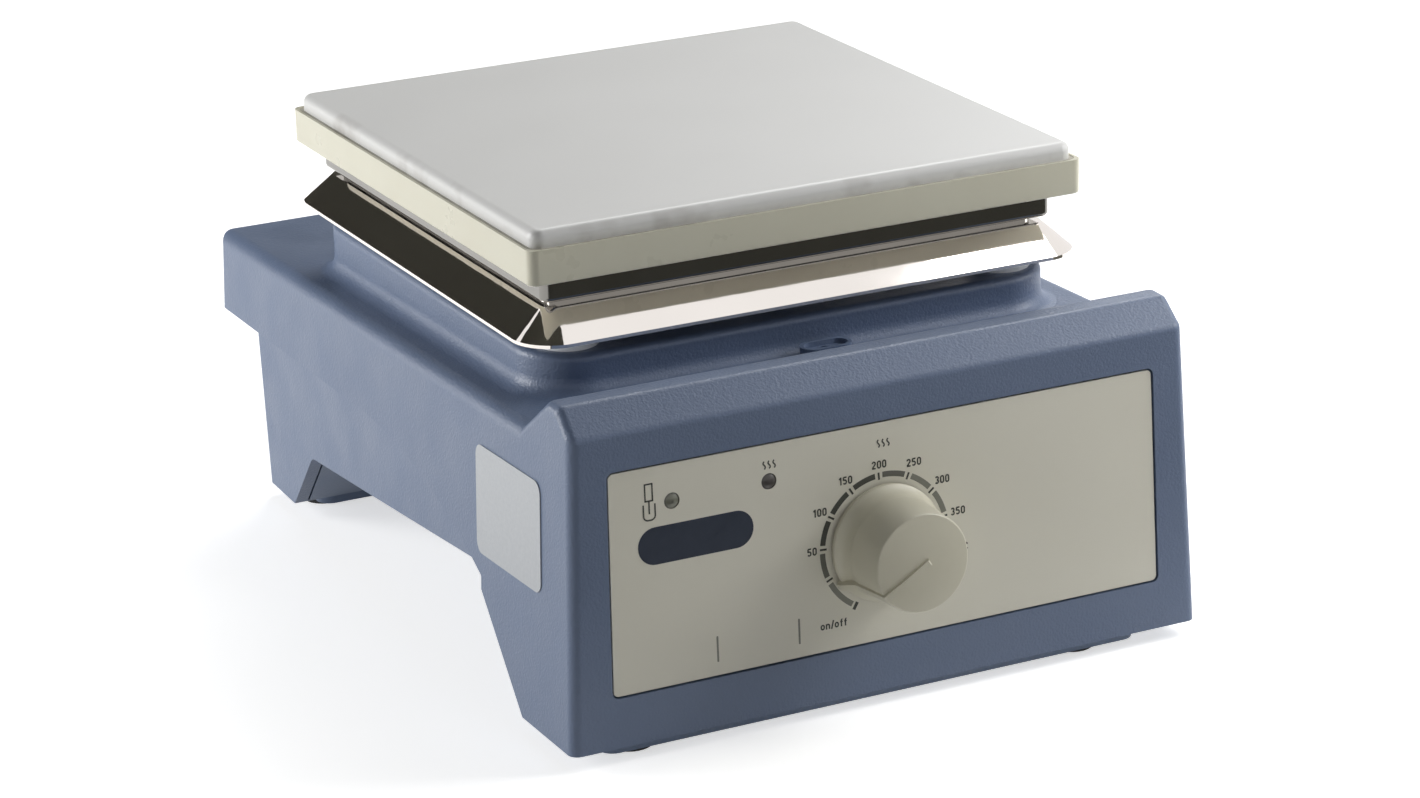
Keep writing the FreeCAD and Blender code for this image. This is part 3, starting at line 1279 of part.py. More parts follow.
def make_probe_socket():
    """Round socket for the external temperature probe."""
    body = rod(PROBE_FLANGE_R, 0, 0, 0, PROBE_FLANGE_THICK)
    body = body.fuse(rod(PROBE_R, 0, 0, PROBE_FLANGE_THICK - PROBE_DEPTH, 1))
    floor = PROBE_FLANGE_THICK - PROBE_MOUTH_DEPTH
    body = body.cut(rod(PROBE_MOUTH_R, 0, 0, floor, PROBE_FLANGE_THICK + 1))
    for i in range(PROBE_PINS):
        angle = math.radians(180 * i / (PROBE_PINS - 1))
        body = body.cut(rod(PROBE_PIN_R, PROBE_PIN_CIRCLE * math.cos(angle), PROBE_PIN_CIRCLE * math.sin(angle),
                            floor - PROBE_PIN_DEPTH, floor + 1))
    return on_rear(body, PROBE_X, SOCKET_Z)


def make_probe_nut():
    low = -CASING_WALL - PROBE_NUT_THICK
    nut = hexagon(PROBE_NUT_AF, 0, 0, low, -CASING_WALL).cut(rod(PROBE_R, 0, 0, low - 1, 0))
    return on_rear(nut, PROBE_X, SOCKET_Z)


def make_label():
    """Thin label on the drafted left side, near the front."""
    body = slab(LABEL_WIDTH, LABEL_HEIGHT, LABEL_R, 0, LABEL_THICK)
    body.rotate(V(0, 0, 0), UP, LABEL_TURN)
    upright = FreeCAD.Rotation(V(0, -1, 0), V(SIDE_SLOPE, 0, 1), V(-1, 0, SIDE_SLOPE), "ZYX")
    return placed(body, FreeCAD.Placement(V(-half_width(LABEL_Z), LABEL_Y, LABEL_Z), upright))


def collect():
    """Every node by name, each one a solid or a list of like solids."""
    return {
        "casing": make_casing(),
        "base_tray": make_base_tray(),
        "rubber_feet": make_feet(),
        "foot_screws": make_foot_screws(),
        "ceramic_plate": make_plate(),
        "plate_seal": make_seal(),
        "plate_frame": make_frame(),
        "heater_pan": make_pan(),
        "heating_element": make_element(),
        "insulation_pad": make_insulation(),
        "element_terminals": make_terminals(),
        "temperature_sensor": make_sensor(),
        "heater_leads": make_leads(),
        "lead_grommet": make_grommet(),
        "heat_shield": make_shield(),
        "plate_spacers": make_spacers(),
        "plate_studs": make_studs(),
        "stud_washers": make_stud_washers(),
        "stud_nuts": make_stud_nuts(),
        "fascia_panel": make_panel(),
        "power_lamp_lens": make_lens(LAMP_LEFT),
        "hot_lamp_lens": make_lens(LAMP_RIGHT),
        "lamp_leds": make_leds(),
        "control_board": make_board(),
        "board_standoffs": make_standoffs(),
        "board_screws": make_board_screws(),
        "heat_control": make_control(),
        "control_washer": make_control_washer(),
        "control_nut": make_control_nut(),
        "control_shaft": make_shaft(),
        "control_knob": make_knob(),
        "knob_insert": make_knob_insert(),
        "heat_sink": make_sink(),
        "triac": make_triac(),
        "transformer": make_transformer(),
        "terminal_block": make_block(),
        "earth_stud": make_earth_stud(),
        "earth_nut": make_earth_nut(),
        "mains_inlet": make_inlet(),
        "inlet_pins": make_inlet_pins(),
        "inlet_screws": make_inlet_screws(),
        "probe_socket": make_probe_socket(),
        "probe_nut": make_probe_nut(),
        "rod_socket": make_rod_socket(),
        "side_label": make_label(),
    }


def as_shape(pieces):
    """One shape from a solid or from a list of separate solids."""
    if isinstance(pieces, list):
        return Part.makeCompound([solid for piece in pieces for solid in piece.Solids])
    if len(pieces.Solids) == 1:
        return pieces.Solids[0]
    return pieces


def main():
    os.makedirs("parts", exist_ok=True)
    nodes = {name: as_shape(pieces) for name, pieces in collect().items()}
    front = min(shape.BoundBox.YMin for shape in nodes.values())
    back = max(shape.BoundBox.YMax for shape in nodes.values())
    shift = V(0, -(front + back) / 2, 0)
    for name, shape in nodes.items():
        shape.translate(shift)
        shape.exportStep("parts/" + name + ".step")
        print(f"{name}: {len(shape.Solids)} solid, {shape.Volume / 1000:.2f} cm3, valid {shape.isValid()}")
    print(f"moved back by {shift.y:.4f} mm")


if __name__ == "__main__":
    main()
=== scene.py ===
"""Looks of a laboratory hot plate: finishes, printed dial, studio and camera."""

import logging
import math
from dataclasses import dataclass, field
from enum import Enum

import bmesh
import bpy
from mathutils import Matrix, Vector


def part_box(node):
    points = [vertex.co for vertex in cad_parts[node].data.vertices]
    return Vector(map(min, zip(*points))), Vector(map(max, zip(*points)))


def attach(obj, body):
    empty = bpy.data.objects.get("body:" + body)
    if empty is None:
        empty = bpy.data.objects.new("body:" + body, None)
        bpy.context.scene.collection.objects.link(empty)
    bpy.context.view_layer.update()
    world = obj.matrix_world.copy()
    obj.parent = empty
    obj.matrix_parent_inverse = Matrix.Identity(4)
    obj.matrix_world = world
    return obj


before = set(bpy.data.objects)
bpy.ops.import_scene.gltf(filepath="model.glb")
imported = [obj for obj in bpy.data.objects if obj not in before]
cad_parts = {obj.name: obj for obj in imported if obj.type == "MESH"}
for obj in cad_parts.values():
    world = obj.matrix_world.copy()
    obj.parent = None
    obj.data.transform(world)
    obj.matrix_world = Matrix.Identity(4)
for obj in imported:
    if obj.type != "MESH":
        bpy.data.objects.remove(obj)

log = logging.getLogger("hot_plate")
MM = 0.001
BASE_BODY = "base"

# Share of the finer octaves in a cloudy mask, and the noise values that become its 0 and 1
NOISE_ROUGHNESS = 0.55
CLOUD_RANGE = (0.35, 0.7)
# Gloss wanders over patches of this share of the colour's clouds
GLOSS_CLOUD_SHARE = 0.4
GLOSS_RANGE = (0.3, 0.7)
LEAST_ROUGHNESS = 0.02
# A finish at least this metallic keeps the shader's own index of refraction
METAL_FROM = 0.5
# Places of the colour sockets on the mix node
MIX_FIRST = 6
MIX_SECOND = 7
MIX_RESULT = 2
# Steps along a bow of a character, a rounded corner and a heat wave
BOW_STEPS = 10
CORNER_STEPS = 8
WAVE_STEPS = 10

Point2 = tuple[float, float]
Point3 = tuple[float, float, float]
Line = list[Point2]


def linear(code: str) -> tuple[float, float, float, float]:
    """Turn an sRGB hex colour into linear light.

    Args:
        code: Colour as six hex digits after a hash mark.

    Returns:
        Linear red, green, blue and an alpha of 1.
    """
    parts = [int(code[i:i + 2], 16) / 255 for i in (1, 3, 5)]
    # The sRGB curve has a straight foot and goes on as a power
    red, green, blue = [c / 12.92 if c <= 0.04045 else ((c + 0.055) / 1.055) ** 2.4 for c in parts]
    return red, green, blue, 1.0


def add_node(tree: bpy.types.NodeTree, kind: str, inputs: dict[str | int, object] | None = None,
             **settings: object) -> bpy.types.Node:
    """Add one node with its settings, its values and its links.

    Args:
        tree: Node tree that takes the node.
        kind: Blender's name for the node type.
        inputs: Socket name or index to a value, or to the socket that feeds it.
        settings: Properties of the node itself.

    Returns:
        The new node.
    """
    node = tree.nodes.new(kind)
    for name, value in settings.items():
        setattr(node, name, value)
    for name, value in (inputs or {}).items():
        if isinstance(value, bpy.types.NodeSocket):
            tree.links.new(value, node.inputs[name])
        else:
            node.inputs[name].default_value = value
    return node


def per_mm(size: float) -> float:
    """Texture scale, in cycles a metre, for a pattern of that size in millimetres."""
    return 1.0 / (size * MM)


def spread(tree: bpy.types.NodeTree, place: bpy.types.NodeSocket, size: float, low: float,
           high: float) -> bpy.types.NodeSocket:
    """Cloudy mask from 0 to 1.

    Args:
        tree: Node tree of the material.
        place: Coordinates in metres.
        size: Size of the clouds in millimetres.
        low: Noise value that becomes 0.
        high: Noise value that becomes 1.

    Returns:
        The mask's socket.
    """
    noise = add_node(tree, "ShaderNodeTexNoise",
                     {"Vector": place, "Scale": per_mm(size), "Detail": 3.0, "Roughness": NOISE_ROUGHNESS})
    ramp = add_node(tree, "ShaderNodeMapRange",
                    {"Value": noise.outputs["Fac"], "From Min": low, "From Max": high})
    return ramp.outputs["Result"]


def blended(tree: bpy.types.NodeTree, mask: bpy.types.NodeSocket, first: str | bpy.types.NodeSocket,
            second: str | bpy.types.NodeSocket, strength: float = 1.0) -> bpy.types.NodeSocket:
    """Mix two colours by a mask.

    Args:
        tree: Node tree of the material.
        mask: Where the second colour shows.
        first: Hex colour or colour socket under the mask.
        second: Hex colour or colour socket over it.
        strength: Largest share of the second colour.

    Returns:
        The mixed colour's socket.
    """
    share = add_node(tree, "ShaderNodeMath", {0: mask, 1: strength}, operation="MULTIPLY")
    mix = add_node(tree, "ShaderNodeMix", {0: share.outputs[0]}, data_type="RGBA")
    for socket, value in ((mix.inputs[MIX_FIRST], first), (mix.inputs[MIX_SECOND], second)):
        if isinstance(value, str):
            socket.default_value = linear(value)
        else:
            tree.links.new(value, socket)
    return mix.outputs[MIX_RESULT]


@dataclass(frozen=True)
class Finish:
    """A surface as made: its colour, its gloss and the fine relief the process leaves."""

    name: str
    slot: str
    color: str
    shade: str
    roughness: float
    metallic: float = 0.0
    ior: float = 1.5
    cloud_mm: float = 40.0
    cloud_share: float = 0.5
    relief_mm: float = 0.8
    relief_height_mm: float = 0.01
    gloss_change: float = 0.06

    def material(self) -> bpy.types.Material:
        """Build the material once and give it back on later calls.

        Returns:
            The material of that finish.
        """
        known = bpy.data.materials.get(self.name)
        if known:
            return known
        made = bpy.data.materials.new(self.name)
        made.use_nodes = True
        tree = made.node_tree
        tree.nodes.clear()
        shader = add_node(tree, "ShaderNodeBsdfPrincipled", {"Metallic": self.metallic})
        if self.metallic < METAL_FROM:
            shader.inputs["IOR"].default_value = self.ior
        add_node(tree, "ShaderNodeOutputMaterial", {"Surface": shader.outputs[0]})
        place = add_node(tree, "ShaderNodeTexCoord").outputs["Object"]
        self.dress(tree, shader, place)
        return made

    def dress(self, tree: bpy.types.NodeTree, shader: bpy.types.Node, place: bpy.types.NodeSocket) -> None:
        """Link colour, gloss and relief to the shader.

        Args:
            tree: Node tree of the material.
            shader: Its principled shader.
            place: Coordinates in metres.
        """
        tree.links.new(self.tone(tree, place), shader.inputs["Base Color"])
        tree.links.new(self.gloss(tree, place), shader.inputs["Roughness"])
        tree.links.new(self.relief(tree, place), shader.inputs["Normal"])

    def tone(self, tree: bpy.types.NodeTree, place: bpy.types.NodeSocket) -> bpy.types.NodeSocket:
        """Colour with soft clouds of the second shade."""
        mask = spread(tree, place, self.cloud_mm, *CLOUD_RANGE)
        return blended(tree, mask, self.color, self.shade, self.cloud_share)

    def gloss(self, tree: bpy.types.NodeTree, place: bpy.types.NodeSocket) -> bpy.types.NodeSocket:
        """Roughness that wanders a little over the surface.

        Args:
            tree: Node tree of the material.
            place: Coordinates in metres.

        Returns:
            The roughness socket.
        """
        scale = per_mm(self.cloud_mm * GLOSS_CLOUD_SHARE)
        noise = add_node(tree, "ShaderNodeTexNoise", {"Vector": place, "Scale": scale, "Detail": 4.0})
        low, high = GLOSS_RANGE
        change = add_node(tree, "ShaderNodeMapRange",
                          {"Value": noise.outputs["Fac"], "From Min": low, "From Max": high,
                           "To Min": max(self.roughness - self.gloss_change, LEAST_ROUGHNESS),
                           "To Max": self.roughness + self.gloss_change})
        return change.outputs["Result"]

    def relief(self, tree: bpy.types.NodeTree, place: bpy.types.NodeSocket) -> bpy.types.NodeSocket:
        """Fine bump of the finish, as deep as it is in millimetres.

        Args:
            tree: Node tree of the material.
            place: Coordinates in metres.

        Returns:
            The bumped normal's socket.
        """
        noise = add_node(tree, "ShaderNodeTexNoise",
                         {"Vector": place, "Scale": per_mm(self.relief_mm), "Detail": 2.0})
        bump = add_node(tree, "ShaderNodeBump",
                        {"Height": noise.outputs["Fac"], "Distance": self.relief_height_mm * MM})
        return bump.outputs["Normal"]


@dataclass(frozen=True)
class PowderCoat(Finish):
    """Epoxy powder coat on a casting: satin, with orange peel and tiny dimples that catch the light."""

    dimple_mm: float = 2.2
    dimple_height_mm: float = 0.012

    def relief(self, tree: bpy.types.NodeTree, place: bpy.types.NodeSocket) -> bpy.types.NodeSocket:
        """Orange peel with a scatter of separate dimples on it.

        Args:
            tree: Node tree of the material.
            place: Coordinates in metres.

        Returns:
            The bumped normal's socket.
        """
        peel = add_node(tree, "ShaderNodeTexNoise",
                        {"Vector": place, "Scale": per_mm(self.relief_mm), "Detail": 1.5})
        cells = add_node(tree, "ShaderNodeTexVoronoi",
                         {"Vector": place, "Scale": per_mm(self.dimple_mm)}, feature="SMOOTH_F1")
        first = add_node(tree, "ShaderNodeBump",
                         {"Height": peel.outputs["Fac"], "Distance": self.relief_height_mm * MM})
        second = add_node(tree, "ShaderNodeBump",
                          {"Height": cells.outputs["Distance"], "Distance": self.dimple_height_mm * MM,
                           "Normal": first.outputs["Normal"]})
        return second.outputs["Normal"]


@dataclass(frozen=True)
class Brushed(Finish):
    """Metal worked in one direction: fine scratches run along one axis."""

    along: Point3 = (0.04, 1.0, 1.0)

    def relief(self, tree: bpy.types.NodeTree, place: bpy.types.NodeSocket) -> bpy.types.NodeSocket:
        """Scratches as noise drawn out along the working direction.

        Args:
            tree: Node tree of the material.
            place: Coordinates in metres.

        Returns:
            The bumped normal's socket.
        """
        drawn = add_node(tree, "ShaderNodeMapping", {"Vector": place, "Scale": self.along})
        noise = add_node(tree, "ShaderNodeTexNoise",
                         {"Vector": drawn.outputs[0], "Scale": per_mm(self.relief_mm), "Detail": 3.0})
        bump = add_node(tree, "ShaderNodeBump",
                        {"Height": noise.outputs["Fac"], "Distance": self.relief_height_mm * MM})
        return bump.outputs["Normal"]


@dataclass(frozen=True)
class GlazedPlate(Finish):
    """Ground and glazed ceramic: even white, with faint burnt smears along its rim."""

    smear: str = "#8B8378"
    smear_share: float = 0.4
    smear_mm: float = 16.0
    smear_range: Point2 = (0.54, 0.74)
    half_mm: float = 73.3
    edge_mm: float = 2.6

    def tone(self, tree: bpy.types.NodeTree, place: bpy.types.NodeSocket) -> bpy.types.NodeSocket:
        """White with smears where the rim meets the mastic.

        Args:
            tree: Node tree of the material.
            place: Coordinates in metres.

        Returns:
            The colour's socket.
        """
        base = super().tone(tree, place)
        low, high = (Vector(corner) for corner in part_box("ceramic_plate"))
        middle = (low + high) / 2
        apart = add_node(tree, "ShaderNodeSeparateXYZ", {0: place})
        reach = []
        for axis, centre in (("X", middle.x), ("Y", middle.y)):
            away = add_node(tree, "ShaderNodeMath", {0: apart.outputs[axis], 1: centre},
                            operation="SUBTRACT")
            reach.append(add_node(tree, "ShaderNodeMath", {0: away.outputs[0]}, operation="ABSOLUTE"))
        far = add_node(tree, "ShaderNodeMath", {0: reach[0].outputs[0], 1: reach[1].outputs[0]},
                       operation="MAXIMUM")
        rim = add_node(tree, "ShaderNodeMapRange",
                       {"Value": far.outputs[0], "From Min": (self.half_mm - self.edge_mm) * MM,
                        "From Max": self.half_mm * MM})
        patches = spread(tree, place, self.smear_mm, *self.smear_range)
        smears = add_node(tree, "ShaderNodeMath", {0: rim.outputs[0], 1: patches}, operation="MULTIPLY")
        return blended(tree, smears.outputs[0], base, self.smear, self.smear_share)


@dataclass(frozen=True)
class LampLens(Finish):
    """Moulded clear plastic over a lamp: the lamp shows as a dark spot and the rim as a dark ring."""

    node: str = ""
    deep: str = "#3E3F39"
    depth: float = 0.8
    coat: float = 0.2
    coat_roughness: float = 0.08
    spot_mm: float = 0.55
    ring_mm: float = 1.5
    rim_mm: float = 2.0

    def tone(self, tree: bpy.types.NodeTree, place: bpy.types.NodeSocket) -> bpy.types.NodeSocket:
        """Even tint with the lamp's dark spot and the dark ring about it.

        Args:
            tree: Node tree of the material.
            place: Coordinates in metres.

        Returns:
            The colour's socket.
        """
        base = super().tone(tree, place)
        low, high = (Vector(corner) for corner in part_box(self.node))
        flat = Vector((1.0, 0.0, 1.0))
        faced = add_node(tree, "ShaderNodeVectorMath", {0: place, 1: flat}, operation="MULTIPLY")
        away = add_node(tree, "ShaderNodeVectorMath", {0: faced.outputs[0], 1: (low + high) / 2 * flat},
                        operation="DISTANCE").outputs["Value"]
        spot = add_node(tree, "ShaderNodeMapRange",
                        {"Value": away, "From Min": self.spot_mm * MM, "From Max": 0.0})
        ring = add_node(tree, "ShaderNodeMapRange",
                        {"Value": away, "From Min": self.ring_mm * MM, "From Max": self.rim_mm * MM})
        dark = add_node(tree, "ShaderNodeMath", {0: spot.outputs[0], 1: ring.outputs[0]},
                        operation="MAXIMUM")
        return blended(tree, dark.outputs[0], base, self.deep, self.depth)

    def dress(self, tree: bpy.types.NodeTree, shader: bpy.types.Node, place: bpy.types.NodeSocket) -> None:
        """Add a clear coat to the plain finish.

        Args:
            tree: Node tree of the material.
            shader: Its principled shader.
            place: Coordinates in metres.
        """
        super().dress(tree, shader, place)
        shader.inputs["Coat Weight"].default_value = self.coat
        shader.inputs["Coat Roughness"].default_value = self.coat_roughness


class Finishes:
    """Every finish on the hot plate and in its studio, named for what the piece is made of."""

    # Satin blue-grey powder coat; its orange peel breaks up highlights on the bevel and crest
    casing = PowderCoat("powder_coated_casting", "casing_paint", "#677691", "#63728D", 0.42,
                        relief_mm=0.65, relief_height_mm=0.12, dimple_mm=1.3, dimple_height_mm=0.035)
    # The same coat on folded sheet, flatter; its colour is painted a little lighter than the casing's, as
    # painted light that the tray's lip catches from the floor
    tray = PowderCoat("powder_coat_sheet_floor_lit", "tray_paint", "#6F7F99", "#6B7B93", 0.42,
                      relief_mm=0.8, relief_height_mm=0.06)
    # White glazed ceramic, semi-matt from use, nearly free of pattern
    plate = GlazedPlate("glazed_white_ceramic", "white_ceramic", "#E2E2E0", "#E0E0DE", 0.4, ior=1.52,
                        cloud_mm=60.0, relief_mm=2.5, relief_height_mm=0.004, gloss_change=0.015)
    # Cream stove enamel on pressed steel, smooth and softly shiny
    enamel = Finish("cream_stove_enamel", "cream_enamel", "#DCD9C5", "#D7D3BE", 0.32, cloud_mm=25.0,
                    relief_mm=3.0, relief_height_mm=0.01)
    # High-temperature mastic wiped in by hand: matt, grey-cream, smeared
    mastic = Finish("silicone_mastic", "seal_compound", "#C9C6B8", "#8E887B", 0.6, cloud_mm=9.0,
                    cloud_share=0.8, relief_mm=1.2, relief_height_mm=0.05)
    # Cold-rolled stainless pan, dull mirror with drawn streaks round its wall
    pan = Brushed("drawn_stainless_pan", "pan_steel", "#8A8884", "#7C7A76", 0.1, 1.0, cloud_mm=20.0,
                  relief_mm=0.5, relief_height_mm=0.002, along=(0.1, 0.1, 1.0), gloss_change=0.05)
    # Mirror-polished stainless shield: it shows the room and the plate, a little wavy
    shield = Finish("polished_stainless", "polished_steel", "#EFE9E4", "#E9E3DE", 0.05, 1.0,
                    cloud_mm=30.0, relief_mm=18.0, relief_height_mm=0.05, gloss_change=0.03)
    # Drawn and turned aluminium with fine tool lines
    aluminium = Brushed("turned_aluminium", "bare_aluminium", "#B9BCC0", "#ACAFB4", 0.34, 1.0,
                        relief_mm=0.4, relief_height_mm=0.004, along=(0.1, 0.1, 1.0))
    # Matt aluminium spacers: a pale, even grey without a mirror in it; the colour is painted far lighter
    # than the turned aluminium, as painted light that keeps the discs bright in the shade under the shield
    spacer_painted_light = Finish("aluminium_with_painted_light", "bare_aluminium", "#E6E8EA", "#DADCDF", 0.62, 0.7, cloud_mm=3.0,
                     relief_mm=0.5, relief_height_mm=0.02)
    # Zinc-plated steel fasteners, pale with a faint bluish bloom
    zinc = Finish("zinc_plated_steel", "zinc_steel", "#B4B6B8", "#9DA2A8", 0.36, 1.0, cloud_mm=4.0,
                  relief_mm=0.5, relief_height_mm=0.006)
    # Drawn and turned brass, warm and slightly dulled
    brass = Finish("turned_brass", "brass", "#D0A95E", "#B8924C", 0.3, 1.0, cloud_mm=5.0,
                   relief_mm=0.4, relief_height_mm=0.004)
    # Screen-printed polyester film over the fascia, satin, even cream
    film = Finish("cream_polyester_film", "fascia_film", "#E4E1D3", "#E0DDCE", 0.36, cloud_mm=50.0,
                  relief_mm=0.6, relief_height_mm=0.003)
    # Moulded cream ABS knob, fine mould texture, soft highlights
    knob = Finish("moulded_cream_abs", "knob_plastic", "#D5D1BE", "#D0CCB8", 0.34, ior=1.53, cloud_mm=12.0,
                  relief_mm=0.5, relief_height_mm=0.006)
    # Clear grey lamp lens with the dark lamp behind it
    grey_lens = LampLens("clear_grey_lens", "lamp_grey", "#757669", "#6C6D61", 0.34, cloud_mm=1.8,
                         relief_height_mm=0.002, node="power_lamp_lens")
    # Deep red lens that looks black while the lamp is off
    dark_lens = LampLens("dark_red_lens", "lamp_red", "#4A4643", "#454140", 0.36, cloud_mm=1.8,
                         relief_height_mm=0.002, node="hot_lamp_lens", deep="#3B3836", depth=0.5)
    # Moulded rubber feet, matt black with a dusty bloom
    rubber = Finish("moulded_black_rubber", "black_rubber", "#1D1D1E", "#2A2A2B", 0.75, cloud_mm=4.0,
                    relief_mm=0.7, relief_height_mm=0.02)
    # Moulded black phenolic and nylon parts, fine grain
    black = Finish("moulded_black_nylon", "black_plastic", "#222224", "#2A2A2C", 0.48, cloud_mm=8.0,
                   relief_mm=0.6, relief_height_mm=0.012)
    # Glass-epoxy board under green resist
    laminate = Finish("green_glass_epoxy", "board_laminate", "#2F6B3F", "#275C36", 0.4, cloud_mm=3.0,
                      cloud_share=0.9, relief_mm=0.8, relief_height_mm=0.02)
    # Mica-bonded board, pearly beige flakes
    mica = Finish("mica_board", "mineral_board", "#C9C0A6", "#B2A789", 0.5, cloud_mm=2.5, cloud_share=0.9)
    # Needled ceramic-fibre felt, white and loose
    felt = Finish("ceramic_fibre_felt", "insulation_felt", "#DAD8D0", "#C6C3B8", 0.9, cloud_mm=3.0,
                  relief_mm=0.7, relief_height_mm=0.15)
    # Braided glass-fibre sleeve over the heater leads
    sleeve = Finish("braided_glass_sleeve", "lead_sleeve", "#CFCBBE", "#A8A396", 0.8, cloud_mm=0.8,
                    cloud_share=0.9, relief_mm=0.5, relief_height_mm=0.08)
    # Pressed steatite terminal block, chalky cream
    steatite = Finish("pressed_steatite", "steatite", "#DDD8C6", "#CFC9B4", 0.55, cloud_mm=6.0)
    # Varnished transformer laminations, dark with thin edges
    core = Brushed("varnished_laminations", "core_steel", "#3A3937", "#2B2A29", 0.42, 0.6, cloud_mm=5.0,
                   relief_mm=0.5, relief_height_mm=0.05, along=(1.0, 0.05, 0.05))
    # Silver polyester label with a fine sparkle
    label = Finish("silver_polyester_label", "silver_label", "#AEB1B4", "#A6A9AD", 0.34, 0.4,
                   cloud_mm=0.9, cloud_share=0.8, relief_mm=0.45, relief_height_mm=0.01)
    # Screen-printed inks, thin and matt; on the dial band the two paler greys also hold painted sheen
    ink = Finish("charcoal_ink", "dial_ink", "#42433D", "#484942", 0.5, cloud_mm=1.5)
    sheen_grey_ink = Finish("grey_ink_and_painted_sheen", "dial_ink", "#64645C", "#6A6A61", 0.5, cloud_mm=1.5)
    mid_ink_and_sheen = Finish("mid_grey_ink_and_painted_sheen", "dial_ink", "#7F7F75", "#85857B", 0.5, cloud_mm=1.5)
    navy_ink = Finish("navy_panel_ink", "navy_ink", "#2A3242", "#303848", 0.42, cloud_mm=3.0)
    # Painted studio floor, nearly white and quite matt, so that it only takes the shadow
    floor = Finish("pale_floor", "none", "#F1F1F0", "#F1F1F0", 0.9, cloud_mm=300.0, relief_height_mm=0.0)
    # Dull dark cloth that gives metal and gloss something to show besides white
    cloth = Finish("dark_studio_cloth", "none", "#4D4C44", "#4D4C44", 0.95, cloud_mm=300.0,
                   relief_height_mm=0.0)


def new_piece(name: str, mesh: bpy.types.Mesh, finish: Finish, body: str) -> bpy.types.Object:
    """Make an object from a mesh, dress it and let it ride a body.

    Args:
        name: Name of the piece.
        mesh: Its mesh, in metres, in the part's frame.
        finish: What it is made of.
        body: Body that carries it.

    Returns:
        The new object.
    """
    piece = bpy.data.objects.new(name, mesh)
    bpy.context.scene.collection.objects.link(piece)
    mesh.materials.append(finish.material())
    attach(piece, body)
    log.info("made %s, %d faces", name, len(mesh.polygons))
    return piece


def new_sheet(name: str, corners: tuple[Point3, ...], finish: Finish) -> bpy.types.Object:
    """Make one flat sheet of the stage.

    Args:
        name: Name of the sheet.
        corners: Its corners in metres, in order round it.
        finish: What it is made of.

    Returns:
        The new object.
    """
    mesh = bpy.data.meshes.new(name)
    mesh.from_pydata(corners, [], [tuple(range(len(corners)))])
    mesh.materials.append(finish.material())
    sheet = bpy.data.objects.new(name, mesh)
    bpy.context.scene.collection.objects.link(sheet)
    return sheet


class SubAssembly:
    """Pieces of the frame that come off the bench together, each with its finish."""

    finishes: dict[str, Finish] = {}

    def build(self) -> None:
        """Give every piece of the sub-assembly its finish."""
        for name, finish in self.finishes.items():
            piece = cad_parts[name]
            piece.data.materials.clear()
            piece.data.materials.append(finish.material())
            log.info("dressed %s in %s", name, finish.name)


class Housing(SubAssembly):
    """Casting with the tray that closes it, its feet and the label on its flank."""

    finishes = {
        "casing": Finishes.casing, "base_tray": Finishes.tray, "rubber_feet": Finishes.rubber,
        "foot_screws": Finishes.zinc, "side_label": Finishes.label,
    }


class HeatedTop(SubAssembly):
    """Ceramic plate in its frame, the heater under it, the shield and what holds them."""

    finishes = {
        "ceramic_plate": Finishes.plate, "plate_seal": Finishes.mastic, "plate_frame": Finishes.enamel,
        "heater_pan": Finishes.pan, "heating_element": Finishes.mica, "insulation_pad": Finishes.felt,
        "element_terminals": Finishes.brass, "temperature_sensor": Finishes.zinc,
        "heater_leads": Finishes.sleeve, "lead_grommet": Finishes.rubber, "heat_shield": Finishes.shield,
        "plate_spacers": Finishes.spacer_painted_light, "plate_studs": Finishes.zinc, "stud_washers": Finishes.zinc,
        "stud_nuts": Finishes.zinc,
    }


class PowerParts(SubAssembly):
    """What switches and feeds the heater, inside the casting."""

    finishes = {
        "heat_sink": Finishes.aluminium, "triac": Finishes.black, "transformer": Finishes.core,
        "terminal_block": Finishes.steatite, "earth_stud": Finishes.brass, "earth_nut": Finishes.brass,
    }


class RearSockets(SubAssembly):
    """Mains inlet and probe socket in the rear wall, and the rod socket in the ledge."""

    finishes = {
        "mains_inlet": Finishes.black, "inlet_pins": Finishes.brass, "inlet_screws": Finishes.zinc,
        "probe_socket": Finishes.aluminium, "probe_nut": Finishes.zinc, "rod_socket": Finishes.zinc,
    }


def pill(middle: Point2, width: float, height: float, radius: float) -> Line:
    """Outline of a rounded bar, anticlockwise.

    Args:
        middle: Its middle.
        width: Its whole width.
        height: Its whole height.
        radius: Radius of its corners.

    Returns:
        The outline's points.
    """
    points = []
    for turn, (sx, sy) in enumerate(((1, -1), (1, 1), (-1, 1), (-1, -1))):
        corner = (middle[0] + sx * (width / 2 - radius), middle[1] + sy * (height / 2 - radius))
        for i in range(CORNER_STEPS + 1):
            angle = math.radians(turn * 90 - 90 + i * 90 / CORNER_STEPS)
            points.append((corner[0] + radius * math.cos(angle), corner[1] + radius * math.sin(angle)))
    return points


def stroke(points: Line, width: float) -> Line:
    """Outline of a line of even width.

    Args:
        points: Points that the line goes through.
        width: Width of the line.

    Returns:
        The outline's points.
    """
    left = []
    right = []
    for i, (x, y) in enumerate(points):
        before = points[max(i - 1, 0)]
        after = points[min(i + 1, len(points) - 1)]
        dx, dy = after[0] - before[0], after[1] - before[1]
        size = math.hypot(dx, dy)
        nx, ny = -dy / size * width / 2, dx / size * width / 2
        left.append((x + nx, y + ny))
        right.append((x - nx, y - ny))
    return right + left[::-1]


